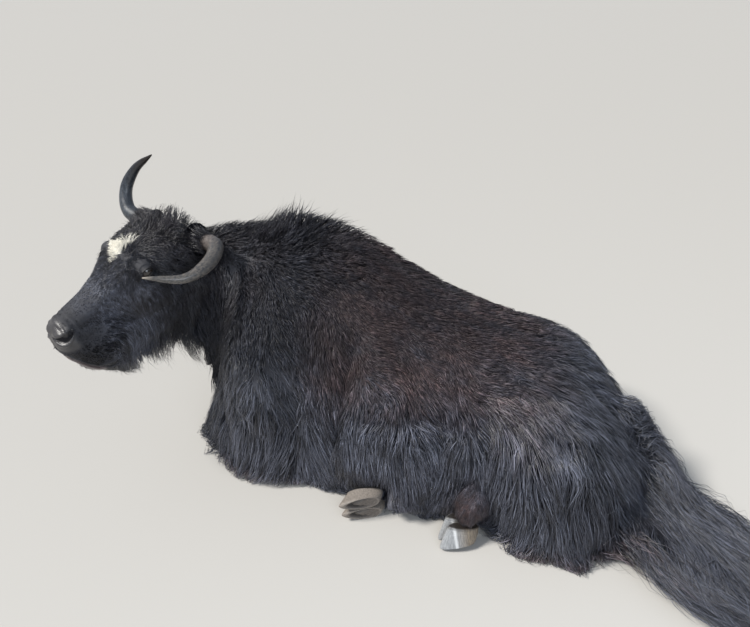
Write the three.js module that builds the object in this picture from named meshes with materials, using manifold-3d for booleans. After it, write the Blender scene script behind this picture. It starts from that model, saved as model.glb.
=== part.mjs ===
// A yak lying on its chest, life size, as a still museum model.
// Millimetres, +Z up, +X the animal's left, -Y the way the trunk faces.
// Every solid reaches out to the tips of the coat.
import * as THREE from 'three';
import { mergeVertices } from 'three/addons/utils/BufferGeometryUtils.js';
import Module from 'manifold-3d';

const wasm = await Module();
wasm.setup();

// Gap that neighbouring pieces keep, and how close corners must be to count as one
const GAP = 0.45;
const SAME_POINT = 1e-4;

// How strongly the sections of trunk and head crowd towards their ends
const CROWDING = 0.55;

// Trunk: stations along Y, each [y, value]
const TRUNK_FRONT = -750;
const TRUNK_REAR = 728;
const TRUNK_RINGS = 24;
const ARCH_POINTS = 13;
const SIDE_POINTS = 2;
const FLOOR_POINTS = 1;
const TOP_LINE = [[-750, 70], [-735, 115], [-700, 165], [-666, 215], [-640, 270], [-600, 400],
  [-520, 700], [-430, 766], [-320, 762], [-215, 712], [-110, 656], [-20, 598], [80, 548], [210, 508],
  [340, 464], [430, 430], [490, 390], [560, 318], [640, 240], [690, 180], [728, 100]];
const WIDEST_LEFT = [[-750, 60], [-720, 150], [-640, 222], [-580, 262], [-500, 322], [-400, 345],
  [-290, 333], [-150, 352], [20, 366], [150, 366], [300, 392], [430, 398], [520, 372], [600, 310],
  [670, 220], [728, 80]];
const WIDEST_RIGHT = [[-750, 50], [-720, 150], [-640, 240], [-520, 310], [-400, 340], [-290, 336],
  [-150, 356], [20, 372], [150, 372], [300, 374], [430, 366], [520, 330], [600, 268], [670, 185],
  [728, 70]];
const FLOOR_LEFT = [[-750, 70], [-728, 160], [-650, 232], [-520, 318], [-390, 340], [-290, 306],
  [-180, 312], [-30, 334], [50, 340], [110, 322], [220, 335], [320, 400], [440, 420], [530, 404],
  [600, 350], [670, 240], [728, 90]];
const FLOOR_RIGHT = [[-750, 60], [-720, 170], [-640, 258], [-520, 330], [-400, 352], [-290, 340],
  [-150, 362], [20, 384], [150, 385], [300, 392], [430, 384], [520, 345], [600, 285], [670, 200],
  [728, 80]];
const WIDEST_HEIGHT = [[-750, 40], [-640, 150], [-450, 270], [-100, 235], [250, 225], [450, 205],
  [600, 150], [728, 50]];
const ARCH_POWER = 2.1;
// The widest place is never higher than this share of the section
const WAIST_LIMIT = 0.6;
const TRUNK_CUTS = [-285, 165];

// Swellings and hollows of the trunk: centre y and z, reach in y and z, height of the swelling
const BULGES = [
  { side: 0, y: -420, z: 420, ry: 130, rz: 170, out: 26 },
  { side: 0, y: -262, z: 330, ry: 42, rz: 190, out: -20 },
  { side: 0, y: -60, z: 260, ry: 150, rz: 130, out: 14 },
  { side: 0, y: 150, z: 400, ry: 75, rz: 90, out: -20 },
  { side: 0, y: 330, z: 470, ry: 60, rz: 50, out: 18 },
  { side: 1, y: 400, z: 260, ry: 130, rz: 130, out: 22 },
  { side: -1, y: 400, z: 230, ry: 140, rz: 120, out: 14 },
];

// Neck: centre line from the shoulders to the back of the head, half sizes across and up
const NECK_PATH = [[-10, -400, 478], [5, -500, 482], [40, -590, 485], [85, -660, 490],
  [135, -722, 504]];
const NECK_ACROSS = [[0, 235], [0.35, 220], [0.7, 172], [1, 130]];
const NECK_UP = [[0, 246], [0.35, 240], [0.7, 240], [1, 205]];
const NECK_RINGS = 8;
const NECK_SIDES = 14;

// Head pose: poll point, the way the nose points, roll that lifts the right side
const POLL = new THREE.Vector3(112, -712, 750);
const NOSE_AIM = new THREE.Vector3(0.84, -0.42, -0.36);
const HEAD_ROLL = 0.12;

// Head in its own frame: x to its right, y from the poll to the nose, z out of the forehead
const HEAD_BACK = -72;
const HEAD_FRONT = 460;
const HEAD_RINGS = 20;
const HEAD_SIDES = 16;
const HEAD_HALF_WIDTH = [[-72, 30], [-55, 76], [-20, 120], [40, 134], [110, 134], [160, 128],
  [205, 121], [250, 94], [300, 76], [350, 66], [400, 62], [430, 61], [448, 50], [460, 26]];
const HEAD_TOP = [[-72, -40], [-55, 14], [-20, 44], [30, 52], [90, 40], [150, 26], [200, 10], [250, -6],
  [330, -18], [400, -28], [436, -42], [460, -78]];
const HEAD_BOTTOM = [[-72, -110], [-55, -210], [-20, -320], [50, -414], [130, -440], [200, -434],
  [250, -408], [320, -364], [370, -306], [412, -258], [440, -212], [460, -120]];
const HEAD_LOW_TAPER = [[-72, 0.2], [60, 0.62], [200, 0.66], [300, 0.54], [400, 0.36], [460, 0.2]];
const HEAD_TOP_POWER = 0.85;
const HEAD_SIDE_POWER = 0.86;
// How far down each section it is widest, as a share of its depth
const HEAD_WAIST = [[-72, 0.4], [40, 0.26], [190, 0.15], [280, 0.22], [380, 0.4], [460, 0.42]];
const MUZZLE_CUT = 350;
const MOUTH_FRONT = [460, -150];
const MOUTH_CORNER = [350, -218];

// Eyes: centre in the head frame, radius and facets round and down
const EYE_CENTRE = new THREE.Vector3(101, 180, -13);
const EYE_RADIUS = 20;
const EYE_FACETS = [10, 6];

// Horns: paths in the head frame and radii from base to tip
const LEFT_HORN_PATH = [[-92, 2, -44], [-184, 11, -20], [-226, 70, -13], [-226, 144, -4],
  [-169, 220, 34]];
const RIGHT_HORN_PATH = [[92, 30, -36], [178, 41, -10], [207, 8, 33], [188, -38, 82], [129, -78, 125]];
const HORN_RADIUS = [[0, 25], [0.25, 22.5], [0.6, 16.5], [0.88, 8.5], [1, 2.2]];
const HORN_RINGS = 12;
const HORN_SIDES = 8;

// Ears: path in the head frame for the right ear, half width and half thickness
const EAR_PATH = [[98, -8, -92], [140, -28, -104], [186, -44, -126], [226, -46, -156]];
const EAR_HALF_WIDTH = [[0, 26], [0.35, 42], [0.7, 36], [1, 7]];
const EAR_HALF_THICK = [[0, 22], [0.5, 17], [1, 5]];
const EAR_FLAT_UP = new THREE.Vector3(0, 0.85, 0.5);
const EAR_RINGS = 6;
const EAR_SIDES = 8;

// Legs: centre lines and radii, in the trunk frame, left side positive x
const SHOULDER_PATH = [[216, -400, 560], [262, -420, 450], [284, -400, 330], [276, -330, 200]];
const SHOULDER_RADIUS = [[0, 62], [0.35, 114], [0.7, 118], [1, 80]];
const KNEE_PATH = [[270, -290, 66], [292, -370, 72], [286, -460, 76], [238, -545, 66]];
const KNEE_RADIUS = [[0, 62], [0.5, 80], [1, 56]];
const THIGH_PATH = [[215, 446, 350], [286, 424, 280], [318, 358, 200], [322, 270, 128]];
const THIGH_RADIUS = [[0, 84], [0.35, 132], [0.75, 122], [1, 76]];
const THIGH_RADIUS_FAR = [[0, 40], [0.35, 88], [0.75, 118], [1, 76]];
const HOCK_PATH = [[330, 330, 90], [356, 430, 88], [344, 520, 84], [290, 590, 76]];
const HOCK_RADIUS = [[0, 68], [0.4, 82], [1, 50]];
const LEFT_PASTERN = [[314, 248, 168], [353, 214, 120], [383, 187, 64]];
const RIGHT_PASTERN = [[276, 96, 66], [322, 50, 58], [358, 2, 52], [356, -44, 46]];
const PASTERN_RADIUS = [[0, 46], [0.6, 41], [1, 40]];
// The two end rings of a limb shrink by this share, which rounds it off
const END_ROUNDING = 0.65;
const LEG_RINGS = 6;
const LEG_SIDES = 10;

// Hooves: one claw is a stack of outlines from its sole, shares of its height up to the coronet
const CLAW_LEVELS = [0, 0.16, 0.62, 1];
const CLAW_SIDES = 12;
// Shares of the length: the broadest place behind the middle, and how far toe and heel draw in
const CLAW_BROAD = -0.1;
const CLAW_TOE_BACK = 0.3;
const CLAW_HEEL_IN = 0.12;
// How much narrower a claw is at the toe and at the coronet, and how much lower at the heel
const CLAW_TOE_TAPER = 0.32;
const CLAW_TOP_TAPER = 0.2;
const CORONET_SLOPE = 0.42;
// Half the gap between the two claws of a foot
const CLAW_GAP = 0.6;
const CLAW_TOE_IN = 0.04;
// Below this share of its height a claw is blunt at the toe, by each hoof's share of its length
const CLAW_BLUNT_TO = CLAW_LEVELS[1];
// The second claw of a foot lies this much further back than the first
const CLAW_STAGGER = 8;
// The pockets that hold the claws are a little larger
const POCKET = 1.03;
const LEFT_HIND_HOOF = {
  at: [384, 180, 4], heading: -62, lean: 12, pitch: 6, long: 114, wide: 40, high: 70, blunt: 0.03,
};
const RIGHT_HIND_HOOF = {
  at: [380, -90, 45], heading: -63, lean: 82, pitch: 0, long: 134, wide: 44, high: 52, blunt: 0.12,
};
const RIGHT_FORE_HOOF = {
  at: [-352, -205, 0], heading: 105, lean: 0, pitch: 0, long: 114, wide: 40, high: 62, blunt: 0.06,
};
const HOOVES = [
  ['hind_left', LEFT_HIND_HOOF],
  ['hind_right', RIGHT_HIND_HOOF],
  ['fore_right', RIGHT_FORE_HOOF],
];

// Tail: the dock on the rump, then the brush laid on the floor
const TAIL_PATH = [[12, 584, 300], [20, 628, 236], [54, 668, 156], [132, 688, 92], [222, 722, 56],
  [316, 826, 40], [402, 940, 28], [464, 1052, 14]];
const TAIL_ACROSS = [[0, 44], [0.15, 58], [0.3, 104], [0.43, 188], [0.56, 214], [0.72, 196], [0.9, 124],
  [1, 26]];
const TAIL_UP = [[0, 38], [0.15, 44], [0.3, 50], [0.45, 52], [0.7, 40], [0.9, 24], [1, 12]];
const TAIL_RINGS = 15;
const TAIL_SIDES = 12;
const TAIL_CUTS = [[716, 12], [884, 20]];

// Materials seen in the photo: colour, roughness
const COAT = { color: 0x17171b, roughness: 0.82 };
const BROWN_COAT = { color: 0x2a1a17, roughness: 0.84 };
const MUZZLE_SKIN = { color: 0x2b292b, roughness: 0.55 };
const HORN = { color: 0x6d6862, roughness: 0.38 };
const HOOF = { color: 0x8f8578, roughness: 0.45 };
const EYE = { color: 0x0b0908, roughness: 0.08 };

// Smooth value through a small table of [position, value] stations
function through(table, at) {
  const last = table.length - 1;
  if (at <= table[0][0]) return table[0][1];
  if (at >= table[last][0]) return table[last][1];
  let i = 0;
  while (at > table[i + 1][0]) i += 1;
  const before = table[Math.max(i - 1, 0)];
  const start = table[i];
  const end = table[i + 1];
  const after = table[Math.min(i + 2, last)];
  const span = end[0] - start[0];
  const slope = (a, b) => (b[0] === a[0] ? 0 : (b[1] - a[1]) / (b[0] - a[0]));
  const startSlope = slope(before, end) * span;
  const endSlope = slope(start, after) * span;
  const t = (at - start[0]) / span;
  const t2 = t * t;
  const t3 = t2 * t;
  return (2 * t3 - 3 * t2 + 1) * start[1] + (t3 - 2 * t2 + t) * startSlope
    + (3 * t2 - 2 * t3) * end[1] + (t3 - t2) * endSlope;
}

// Positions from start to end, closer together near both ends
function crowdedSteps(start, end, count) {
  const steps = [];
  for (let i = 0; i < count; i += 1) {
    const even = i / (count - 1);
    const eased = even - Math.sin(2 * Math.PI * even) / (2 * Math.PI);
    steps.push(start + (end - start) * ((1 - CROWDING) * even + CROWDING * eased));
  }
  return steps;
}

function signedPower(value, power) {
  return Math.sign(value) * Math.abs(value) ** power;
}

// Closed body from rings of equal length, with a fan at each end
function loft(rings) {
  const sides = rings[0].length;
  const positions = [];
  const indices = [];
  for (const ring of rings) {
    for (const point of ring) positions.push(point.x, point.y, point.z);
  }
  for (let r = 0; r + 1 < rings.length; r += 1) {
    for (let s = 0; s < sides; s += 1) {
      const next = (s + 1) % sides;
      const a = r * sides + s;
      const b = r * sides + next;
      const c = a + sides;
      const d = b + sides;
      indices.push(a, b, d, a, d, c);
    }
  }
  const addCap = (ring, offset, flip) => {
    const middle = new THREE.Vector3();
    for (const point of ring) middle.add(point);
    middle.divideScalar(sides);
    const hub = positions.length / 3;
    positions.push(middle.x, middle.y, middle.z);
    for (let s = 0; s < sides; s += 1) {
      const a = offset + s;
      const b = offset + ((s + 1) % sides);
      if (flip) indices.push(hub, b, a);
      else indices.push(hub, a, b);
    }
  };
  addCap(rings[0], 0, true);
  addCap(rings[rings.length - 1], (rings.length - 1) * sides, false);
  const geometry = new THREE.BufferGeometry();
  geometry.setAttribute('position', new THREE.Float32BufferAttribute(positions, 3));
  geometry.setIndex(indices);
  return facingOut(geometry);
}

function signedVolume(geometry) {
  const at = geometry.getAttribute('position');
  const index = geometry.getIndex().array;
  const a = new THREE.Vector3();
  const b = new THREE.Vector3();
  const c = new THREE.Vector3();
  let sum = 0;
  for (let i = 0; i < index.length; i += 3) {
    a.fromBufferAttribute(at, index[i]);
    b.fromBufferAttribute(at, index[i + 1]);
    c.fromBufferAttribute(at, index[i + 2]);
    sum += a.dot(b.cross(c));
  }
  return sum / 6;
}

function facingOut(geometry) {
  if (signedVolume(geometry) < 0) {
    const index = geometry.getIndex().array;
    for (let i = 0; i < index.length; i += 3) {
      const keep = index[i];
      index[i] = index[i + 1];
      index[i + 1] = keep;
    }
  }
  return geometry;
}

// The bare shape with its shared corners joined
function joined(geometry) {
  const bare = geometry.clone();
  for (const name of Object.keys(bare.attributes)) {
    if (name !== 'position') bare.deleteAttribute(name);
  }
  return mergeVertices(bare, SAME_POINT);
}

// The same shape moved outward along its normals
function grown(geometry, distance) {
  const copy = joined(geometry);
  copy.computeVertexNormals();
  const at = copy.getAttribute('position');
  const normal = copy.getAttribute('normal');
  for (let i = 0; i < at.count; i += 1) {
    at.setXYZ(i, at.getX(i) + distance * normal.getX(i), at.getY(i) + distance * normal.getY(i),
      at.getZ(i) + distance * normal.getZ(i));
  }
  return copy;
}

function toSolid(geometry) {
  const merged = joined(geometry);
  const vertProperties = new Float32Array(merged.getAttribute('position').array);
  const triVerts = new Uint32Array(merged.getIndex().array);
  return new wasm.Manifold(new wasm.Mesh({ numProp: 3, vertProperties, triVerts }));
}

function toGeometry(solid) {
  const mesh = solid.getMesh();
  const positions = [];
  for (let i = 0; i < mesh.vertProperties.length; i += mesh.numProp) {
    positions.push(mesh.vertProperties[i], mesh.vertProperties[i + 1], mesh.vertProperties[i + 2]);
  }
  const geometry = new THREE.BufferGeometry();
  geometry.setAttribute('position', new THREE.Float32BufferAttribute(positions, 3));
  geometry.setIndex(Array.from(mesh.triVerts));
  geometry.computeVertexNormals();
  return geometry;
}

// Cut the grown tools out of a shape and keep its largest body
function without(geometry, tools) {
  let solid = toSolid(geometry);
  for (const tool of tools) solid = solid.subtract(toSolid(grown(tool, GAP)));
  return largestBody(solid);
}

function largestBody(solid) {
  const bodies = solid.decompose();
  bodies.sort((one, other) => other.volume() - one.volume());
  return bodies[0];
}

// Ring of points round a centre, given the across and up directions and half sizes
function ovalRing(centre, across, up, halfAcross, halfUp, sides, power = 1) {
  const ring = [];
  for (let s = 0; s < sides; s += 1) {
    const angle = (2 * Math.PI * s) / sides;
    const a = signedPower(Math.cos(angle), power) * halfAcross;
    const b = signedPower(Math.sin(angle), power) * halfUp;
    ring.push(centre.clone().addScaledVector(across, a).addScaledVector(up, b));
  }
  return ring;
}

// Round-ended tube of changing oval section along a smooth path
function limb(path, halfAcross, halfUp, rings, sides, options = {}) {
  const curve = new THREE.CatmullRomCurve3(path.map((p) => new THREE.Vector3(...p)), false, 'centripetal');
  const upHint = options.up ?? new THREE.Vector3(0, 0, 1);
  const list = [];
  for (let r = 0; r < rings; r += 1) {
    const even = r / (rings - 1);
    const t = 0.5 - 0.5 * Math.cos(Math.PI * even);
    const tangent = curve.getTangentAt(t);
    const across = new THREE.Vector3().crossVectors(tangent, upHint).normalize();
    const up = new THREE.Vector3().crossVectors(across, tangent).normalize();
    const edge = Math.min(even, 1 - even) * (rings - 1);
    const round = edge < 2 && !options.openEnds ? 1 - END_ROUNDING * (1 - edge / 2) ** 2 : 1;
    const centre = curve.getPointAt(t);
    const wide = through(halfAcross, t) * round;
    const high = through(halfUp, t) * round;
    list.push(ovalRing(centre, across, up, wide, high, sides));
  }
  return list;
}

// Nothing reaches below the floor
function onFloor(rings) {
  for (const ring of rings) {
    for (const point of ring) point.z = Math.max(point.z, 0);
  }
  return rings;
}

function mirrored(path) {
  return path.map(([x, y, z]) => [-x, y, z]);
}

// Trunk sections: an arch over the back, hair down both sides and a flat on the floor
function bulgeAt(side, y, z) {
  let out = 0;
  for (const bulge of BULGES) {
    if (bulge.side !== 0 && bulge.side !== side) continue;
    const u = (y - bulge.y) / bulge.ry;
    const v = (z - bulge.z) / bulge.rz;
    out += bulge.out * Math.exp(-(u * u) - v * v);
  }
  return out;
}

function trunkRing(y) {
  const top = through(TOP_LINE, y);
  const waist = Math.min(through(WIDEST_HEIGHT, y), top * WAIST_LIMIT);
  const left = through(WIDEST_LEFT, y);
  const right = through(WIDEST_RIGHT, y);
  const floorLeft = through(FLOOR_LEFT, y);
  const floorRight = through(FLOOR_RIGHT, y);
  const ring = [];
  const place = (side, x, z) => ring.push(new THREE.Vector3(x + side * bulgeAt(side, y, z), y, z));
  for (let i = 0; i < SIDE_POINTS; i += 1) {
    const rise = i / SIDE_POINTS;
    const ease = Math.sin((rise * Math.PI) / 2);
    place(1, floorLeft + (left - floorLeft) * ease, waist * rise);
  }
  for (let i = 0; i < ARCH_POINTS; i += 1) {
    const angle = (Math.PI * i) / (ARCH_POINTS - 1);
    const x = signedPower(Math.cos(angle), 2 / ARCH_POWER);
    const z = Math.sin(angle) ** (2 / ARCH_POWER);
    const side = Math.abs(x) < SAME_POINT ? 0 : Math.sign(x);
    place(side, x * (x > 0 ? left : right), waist + (top - waist) * z);
  }
  for (let i = SIDE_POINTS - 1; i >= 0; i -= 1) {
    const rise = i / SIDE_POINTS;
    const ease = Math.sin((rise * Math.PI) / 2);
    place(-1, -(floorRight + (right - floorRight) * ease), waist * rise);
  }
  const from = ring[ring.length - 1].x;
  const to = ring[0].x;
  for (let i = 1; i <= FLOOR_POINTS; i += 1) {
    ring.push(new THREE.Vector3(from + ((to - from) * i) / (FLOOR_POINTS + 1), y, 0));
  }
  return ring;
}

function trunkGeometry() {
  return loft(crowdedSteps(TRUNK_FRONT, TRUNK_REAR, TRUNK_RINGS).map(trunkRing));
}

function neckGeometry() {
  return loft(limb(NECK_PATH, NECK_ACROSS, NECK_UP, NECK_RINGS, NECK_SIDES));
}

// Head frame as a matrix from the head's own axes to the trunk frame
function headMatrix() {
  const forward = NOSE_AIM.clone().normalize();
  const right = new THREE.Vector3().crossVectors(forward, new THREE.Vector3(0, 0, 1)).normalize();
  const up = new THREE.Vector3().crossVectors(right, forward);
  right.applyAxisAngle(forward, -HEAD_ROLL);
  up.applyAxisAngle(forward, -HEAD_ROLL);
  return new THREE.Matrix4().makeBasis(right, forward, up).setPosition(POLL);
}
const HEAD_FRAME = headMatrix();

function inHeadFrame(geometry) {
  return facingOut(geometry.applyMatrix4(HEAD_FRAME));
}

function headRing(y) {
  const half = through(HEAD_HALF_WIDTH, y);
  const top = through(HEAD_TOP, y);
  const bottom = through(HEAD_BOTTOM, y);
  const taper = through(HEAD_LOW_TAPER, y);
  const middle = top - (top - bottom) * through(HEAD_WAIST, y);
  const ring = [];
  for (let s = 0; s < HEAD_SIDES; s += 1) {
    const angle = (2 * Math.PI * s) / HEAD_SIDES;
    const sine = Math.sin(angle);
    const z = sine > 0 ? middle + (top - middle) * sine ** HEAD_TOP_POWER : middle + (middle - bottom) * sine;
    const low = sine < 0 ? 1 - taper * sine * sine : 1;
    ring.push(new THREE.Vector3(half * low * signedPower(Math.cos(angle), HEAD_SIDE_POWER), y, z));
  }
  return ring;
}

function headGeometry() {
  return inHeadFrame(loft(crowdedSteps(HEAD_BACK, HEAD_FRONT, HEAD_RINGS).map(headRing)));
}

// Large box whose lower face is the plane through a point of the head frame, tipped about x
function headCutter(y, z, tip) {
  const reach = 700;
  const geometry = new THREE.BoxGeometry(reach, reach, reach);
  geometry.translate(0, reach / 2, 0);
  geometry.rotateX(tip);
  geometry.translate(0, y, z);
  return inHeadFrame(geometry);
}

function hornGeometry(path) {
  return inHeadFrame(loft(limb(path, HORN_RADIUS, HORN_RADIUS, HORN_RINGS, HORN_SIDES, { openEnds: true })));
}

function earGeometry(path) {
  const rings = limb(path, EAR_HALF_THICK, EAR_HALF_WIDTH, EAR_RINGS, EAR_SIDES, { up: EAR_FLAT_UP });
  return inHeadFrame(loft(rings));
}

function eyeGeometry(side) {
  const ball = new THREE.SphereGeometry(EYE_RADIUS, ...EYE_FACETS);
  ball.translate(side * EYE_CENTRE.x, EYE_CENTRE.y, EYE_CENTRE.z);
  return inHeadFrame(ball);
}

function legGeometry(path, radius) {
  const up = new THREE.Vector3(1, 0, 0);
  return loft(onFloor(limb(path, radius, radius, LEG_RINGS, LEG_SIDES, { up })));
}

// One outline of a claw: pointed at the toe along its own +X, rounded at the heel
function clawRing(level, hoof) {
  const broad = CLAW_BROAD * hoof.long;
  const blunt = hoof.blunt * Math.max(0, 1 - level / CLAW_BLUNT_TO) ** 2;
  const toe = (0.5 - CLAW_TOE_BACK * level - blunt) * hoof.long;
  const heel = (-0.5 + CLAW_HEEL_IN * (1 - level) ** 2) * hoof.long;
  const ring = [];
  for (let s = 0; s < CLAW_SIDES; s += 1) {
    const angle = (2 * Math.PI * s) / CLAW_SIDES;
    const front = Math.cos(angle);
    const along = broad + (front > 0 ? (toe - broad) * front : (broad - heel) * front);
    const taper = (1 - CLAW_TOE_TAPER * Math.max(front, 0) ** 2) * (1 - CLAW_TOP_TAPER * level);
    const back = 0.5 - along / hoof.long;
    const up = hoof.high * level * (1 - CORONET_SLOPE * back);
    ring.push(new THREE.Vector3(along, (Math.sin(angle) * hoof.wide * taper) / 2, up));
  }
  return ring;
}

function clawGeometry(hoof, side, size = 1) {
  const pitch = THREE.MathUtils.degToRad(hoof.pitch);
  const geometry = loft(CLAW_LEVELS.map((level) => clawRing(level, hoof)));
  geometry.scale(size, size, size);
  geometry.rotateZ(side * -CLAW_TOE_IN);
  geometry.translate(side < 0 ? -CLAW_STAGGER : 0, side * (hoof.wide / 2 + CLAW_GAP), 0);
  geometry.rotateY(pitch);
  geometry.translate(0, 0, (hoof.long / 2) * Math.sin(pitch));
  geometry.rotateX(THREE.MathUtils.degToRad(hoof.lean));
  geometry.rotateZ(THREE.MathUtils.degToRad(hoof.heading));
  geometry.translate(...hoof.at);
  return facingOut(geometry);
}

function tailGeometry() {
  return loft(onFloor(limb(TAIL_PATH, TAIL_ACROSS, TAIL_UP, TAIL_RINGS, TAIL_SIDES)));
}

// Large box on the far side of a plane across Y, turned about Z
function planeCutter(y, turn = 0) {
  const reach = 3000;
  const geometry = new THREE.BoxGeometry(reach, reach, reach);
  geometry.translate(0, reach / 2, 0);
  geometry.rotateZ(THREE.MathUtils.degToRad(turn));
  geometry.translate(0, y, 0);
  return geometry;
}

// Part a solid at a plane, leaving the gap: the cutter is made at a distance before the plane
function parted(solid, cutterAt) {
  const near = largestBody(solid.subtract(toSolid(cutterAt(GAP))));
  const far = largestBody(solid.intersect(toSolid(cutterAt(0))));
  return [near, far];
}

const group = new THREE.Group();

function addPiece(name, solid, look) {
  const material = new THREE.MeshStandardMaterial({ ...look, metalness: 0 });
  const mesh = new THREE.Mesh(toGeometry(solid), material);
  mesh.name = name;
  group.add(mesh);
}

// Shapes before they are cut to each other
const trunk = trunkGeometry();
const neck = neckGeometry();
const head = headGeometry();
const tail = tailGeometry();
const eyes = { left: eyeGeometry(-1), right: eyeGeometry(1) };
const horns = { left: hornGeometry(LEFT_HORN_PATH), right: hornGeometry(RIGHT_HORN_PATH) };
const ears = { left: earGeometry(mirrored(EAR_PATH)), right: earGeometry(EAR_PATH) };
const shoulders = {
  left: legGeometry(SHOULDER_PATH, SHOULDER_RADIUS),
  right: legGeometry(mirrored(SHOULDER_PATH), SHOULDER_RADIUS),
};
const knees = {
  left: legGeometry(KNEE_PATH, KNEE_RADIUS),
  right: legGeometry(mirrored(KNEE_PATH), KNEE_RADIUS),
};
const thighs = {
  left: legGeometry(THIGH_PATH, THIGH_RADIUS),
  right: legGeometry(mirrored(THIGH_PATH), THIGH_RADIUS_FAR),
};
const hocks = {
  left: legGeometry(HOCK_PATH, HOCK_RADIUS),
  right: legGeometry(mirrored(HOCK_PATH), HOCK_RADIUS),
};
const pasterns = {
  left: legGeometry(LEFT_PASTERN, PASTERN_RADIUS),
  right: legGeometry(RIGHT_PASTERN, PASTERN_RADIUS),
};
const claws = [];
for (const [name, hoof] of HOOVES) {
  for (const [letter, side] of [['a', 1], ['b', -1]]) {
    const geometry = clawGeometry(hoof, side);
    const pocket = clawGeometry(hoof, side, POCKET);
    claws.push({ name: `hoof_${name}_${letter}`, geometry, pocket });
  }
}
const clawShapes = claws.map((claw) => claw.pocket);

// Head pieces
for (const side of ['left', 'right']) {
  addPiece(`eye_${side}`, toSolid(eyes[side]), EYE);
  addPiece(`horn_${side}`, toSolid(horns[side]), HORN);
  addPiece(`ear_${side}`, without(ears[side], [head, horns[side]]), COAT);
}
const wholeHead = without(head, [eyes.left, eyes.right, horns.left, horns.right]);
const [skull, face] = parted(wholeHead, (gap) => headCutter(MUZZLE_CUT - gap, 0, 0));
const [cornerY, cornerZ] = MOUTH_CORNER;
const mouthTip = Math.atan2(MOUTH_FRONT[1] - cornerZ, MOUTH_FRONT[0] - cornerY) - Math.PI / 2;
const [upperLip, lowerJaw] = parted(face, (gap) => headCutter(cornerY, cornerZ + gap, mouthTip));
addPiece('head', skull, COAT);
addPiece('muzzle', upperLip, MUZZLE_SKIN);
addPiece('lower_jaw', lowerJaw, MUZZLE_SKIN);

const earShapes = [ears.left, ears.right];
const hornShapes = [horns.left, horns.right];
addPiece('neck', without(neck, [head, ...earShapes, ...hornShapes]), COAT);

// Hooves and legs, each cut by what lies before it in the list
for (const claw of claws) addPiece(claw.name, toSolid(claw.geometry), HOOF);
for (const side of ['left', 'right']) {
  addPiece(`foot_hind_${side}`, without(pasterns[side], clawShapes), BROWN_COAT);
}
const feet = [...clawShapes, pasterns.left, pasterns.right];
for (const side of ['left', 'right']) {
  addPiece(`thigh_${side}`, without(thighs[side], feet), COAT);
  addPiece(`hock_${side}`, without(hocks[side], [thighs[side], ...feet, tail]), COAT);
  addPiece(`foreleg_lower_${side}`, without(knees[side], feet), COAT);
  addPiece(`foreleg_upper_${side}`, without(shoulders[side], [knees[side], neck, head, ...earShapes]), COAT);
}

// Tail in three lengths
let tailRest = largestBody(toSolid(tail));
const tailNames = ['tail_dock', 'tail_brush_root', 'tail_brush_tip'];
TAIL_CUTS.forEach(([y, turn], i) => {
  const [near, far] = parted(tailRest, (gap) => planeCutter(y - gap, turn));
  addPiece(tailNames[i], near, COAT);
  tailRest = far;
});
addPiece(tailNames[TAIL_CUTS.length], tailRest, COAT);

// Trunk in three lengths, cut by everything that lies on it
const onTrunk = [neck, head, ...earShapes, ...hornShapes, tail, ...feet];
for (const pair of [shoulders, knees, thighs, hocks]) onTrunk.push(pair.left, pair.right);
let trunkRest = without(trunk, onTrunk);
const trunkNames = ['trunk_chest', 'trunk_barrel', 'trunk_rump'];
TRUNK_CUTS.forEach((y, i) => {
  const [near, far] = parted(trunkRest, (gap) => planeCutter(y - gap));
  addPiece(trunkNames[i], near, i === 1 ? BROWN_COAT : COAT);
  trunkRest = far;
});
addPiece(trunkNames[TRUNK_CUTS.length], trunkRest, COAT);

// Origin under the middle of the whole animal, on the floor
const bounds = new THREE.Box3().setFromObject(group);
const middle = bounds.getCenter(new THREE.Vector3());
group.position.set(-middle.x, -middle.y, -bounds.min.z);
group.updateMatrixWorld(true);

export default group;
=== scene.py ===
from collections import namedtuple
import math

import bmesh
import bpy
import numpy as np
from mathutils import Matrix, Vector
from mathutils.bvhtree import BVHTree
from mathutils.kdtree import KDTree


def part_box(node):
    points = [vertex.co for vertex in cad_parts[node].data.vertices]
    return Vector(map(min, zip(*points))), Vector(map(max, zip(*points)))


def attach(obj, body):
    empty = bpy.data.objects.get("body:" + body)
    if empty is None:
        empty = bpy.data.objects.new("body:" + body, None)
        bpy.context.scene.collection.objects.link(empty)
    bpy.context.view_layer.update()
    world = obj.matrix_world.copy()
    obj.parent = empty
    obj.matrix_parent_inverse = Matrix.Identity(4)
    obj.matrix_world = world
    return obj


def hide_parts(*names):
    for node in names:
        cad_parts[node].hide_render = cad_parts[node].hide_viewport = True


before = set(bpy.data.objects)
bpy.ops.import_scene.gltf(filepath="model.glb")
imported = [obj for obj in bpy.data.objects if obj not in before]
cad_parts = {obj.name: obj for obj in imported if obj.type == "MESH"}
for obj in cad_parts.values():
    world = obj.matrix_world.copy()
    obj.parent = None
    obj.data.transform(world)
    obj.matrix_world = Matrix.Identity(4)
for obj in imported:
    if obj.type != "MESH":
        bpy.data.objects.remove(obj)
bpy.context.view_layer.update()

# Head pose, as in the solids: the way the nose points and the roll that lifts the right side
NOSE_AIM = Vector((0.84, -0.42, -0.36)).normalized()
HEAD_ROLL = 0.12
# The head frame: x is the head's right, y runs from the poll to the nose, z out of the forehead
RIGHT_EYE = np.array([0.101, 0.180, -0.013])
POLL = np.array([0.112, -0.712, 0.750])
EYE_RADIUS = 0.020
# How far the eye and its lids sit inside the solid's eye, along the way it looks
EYE_INSET = 0.014
EYE_AIM = (0.92, 0.26, 0.28)

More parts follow.
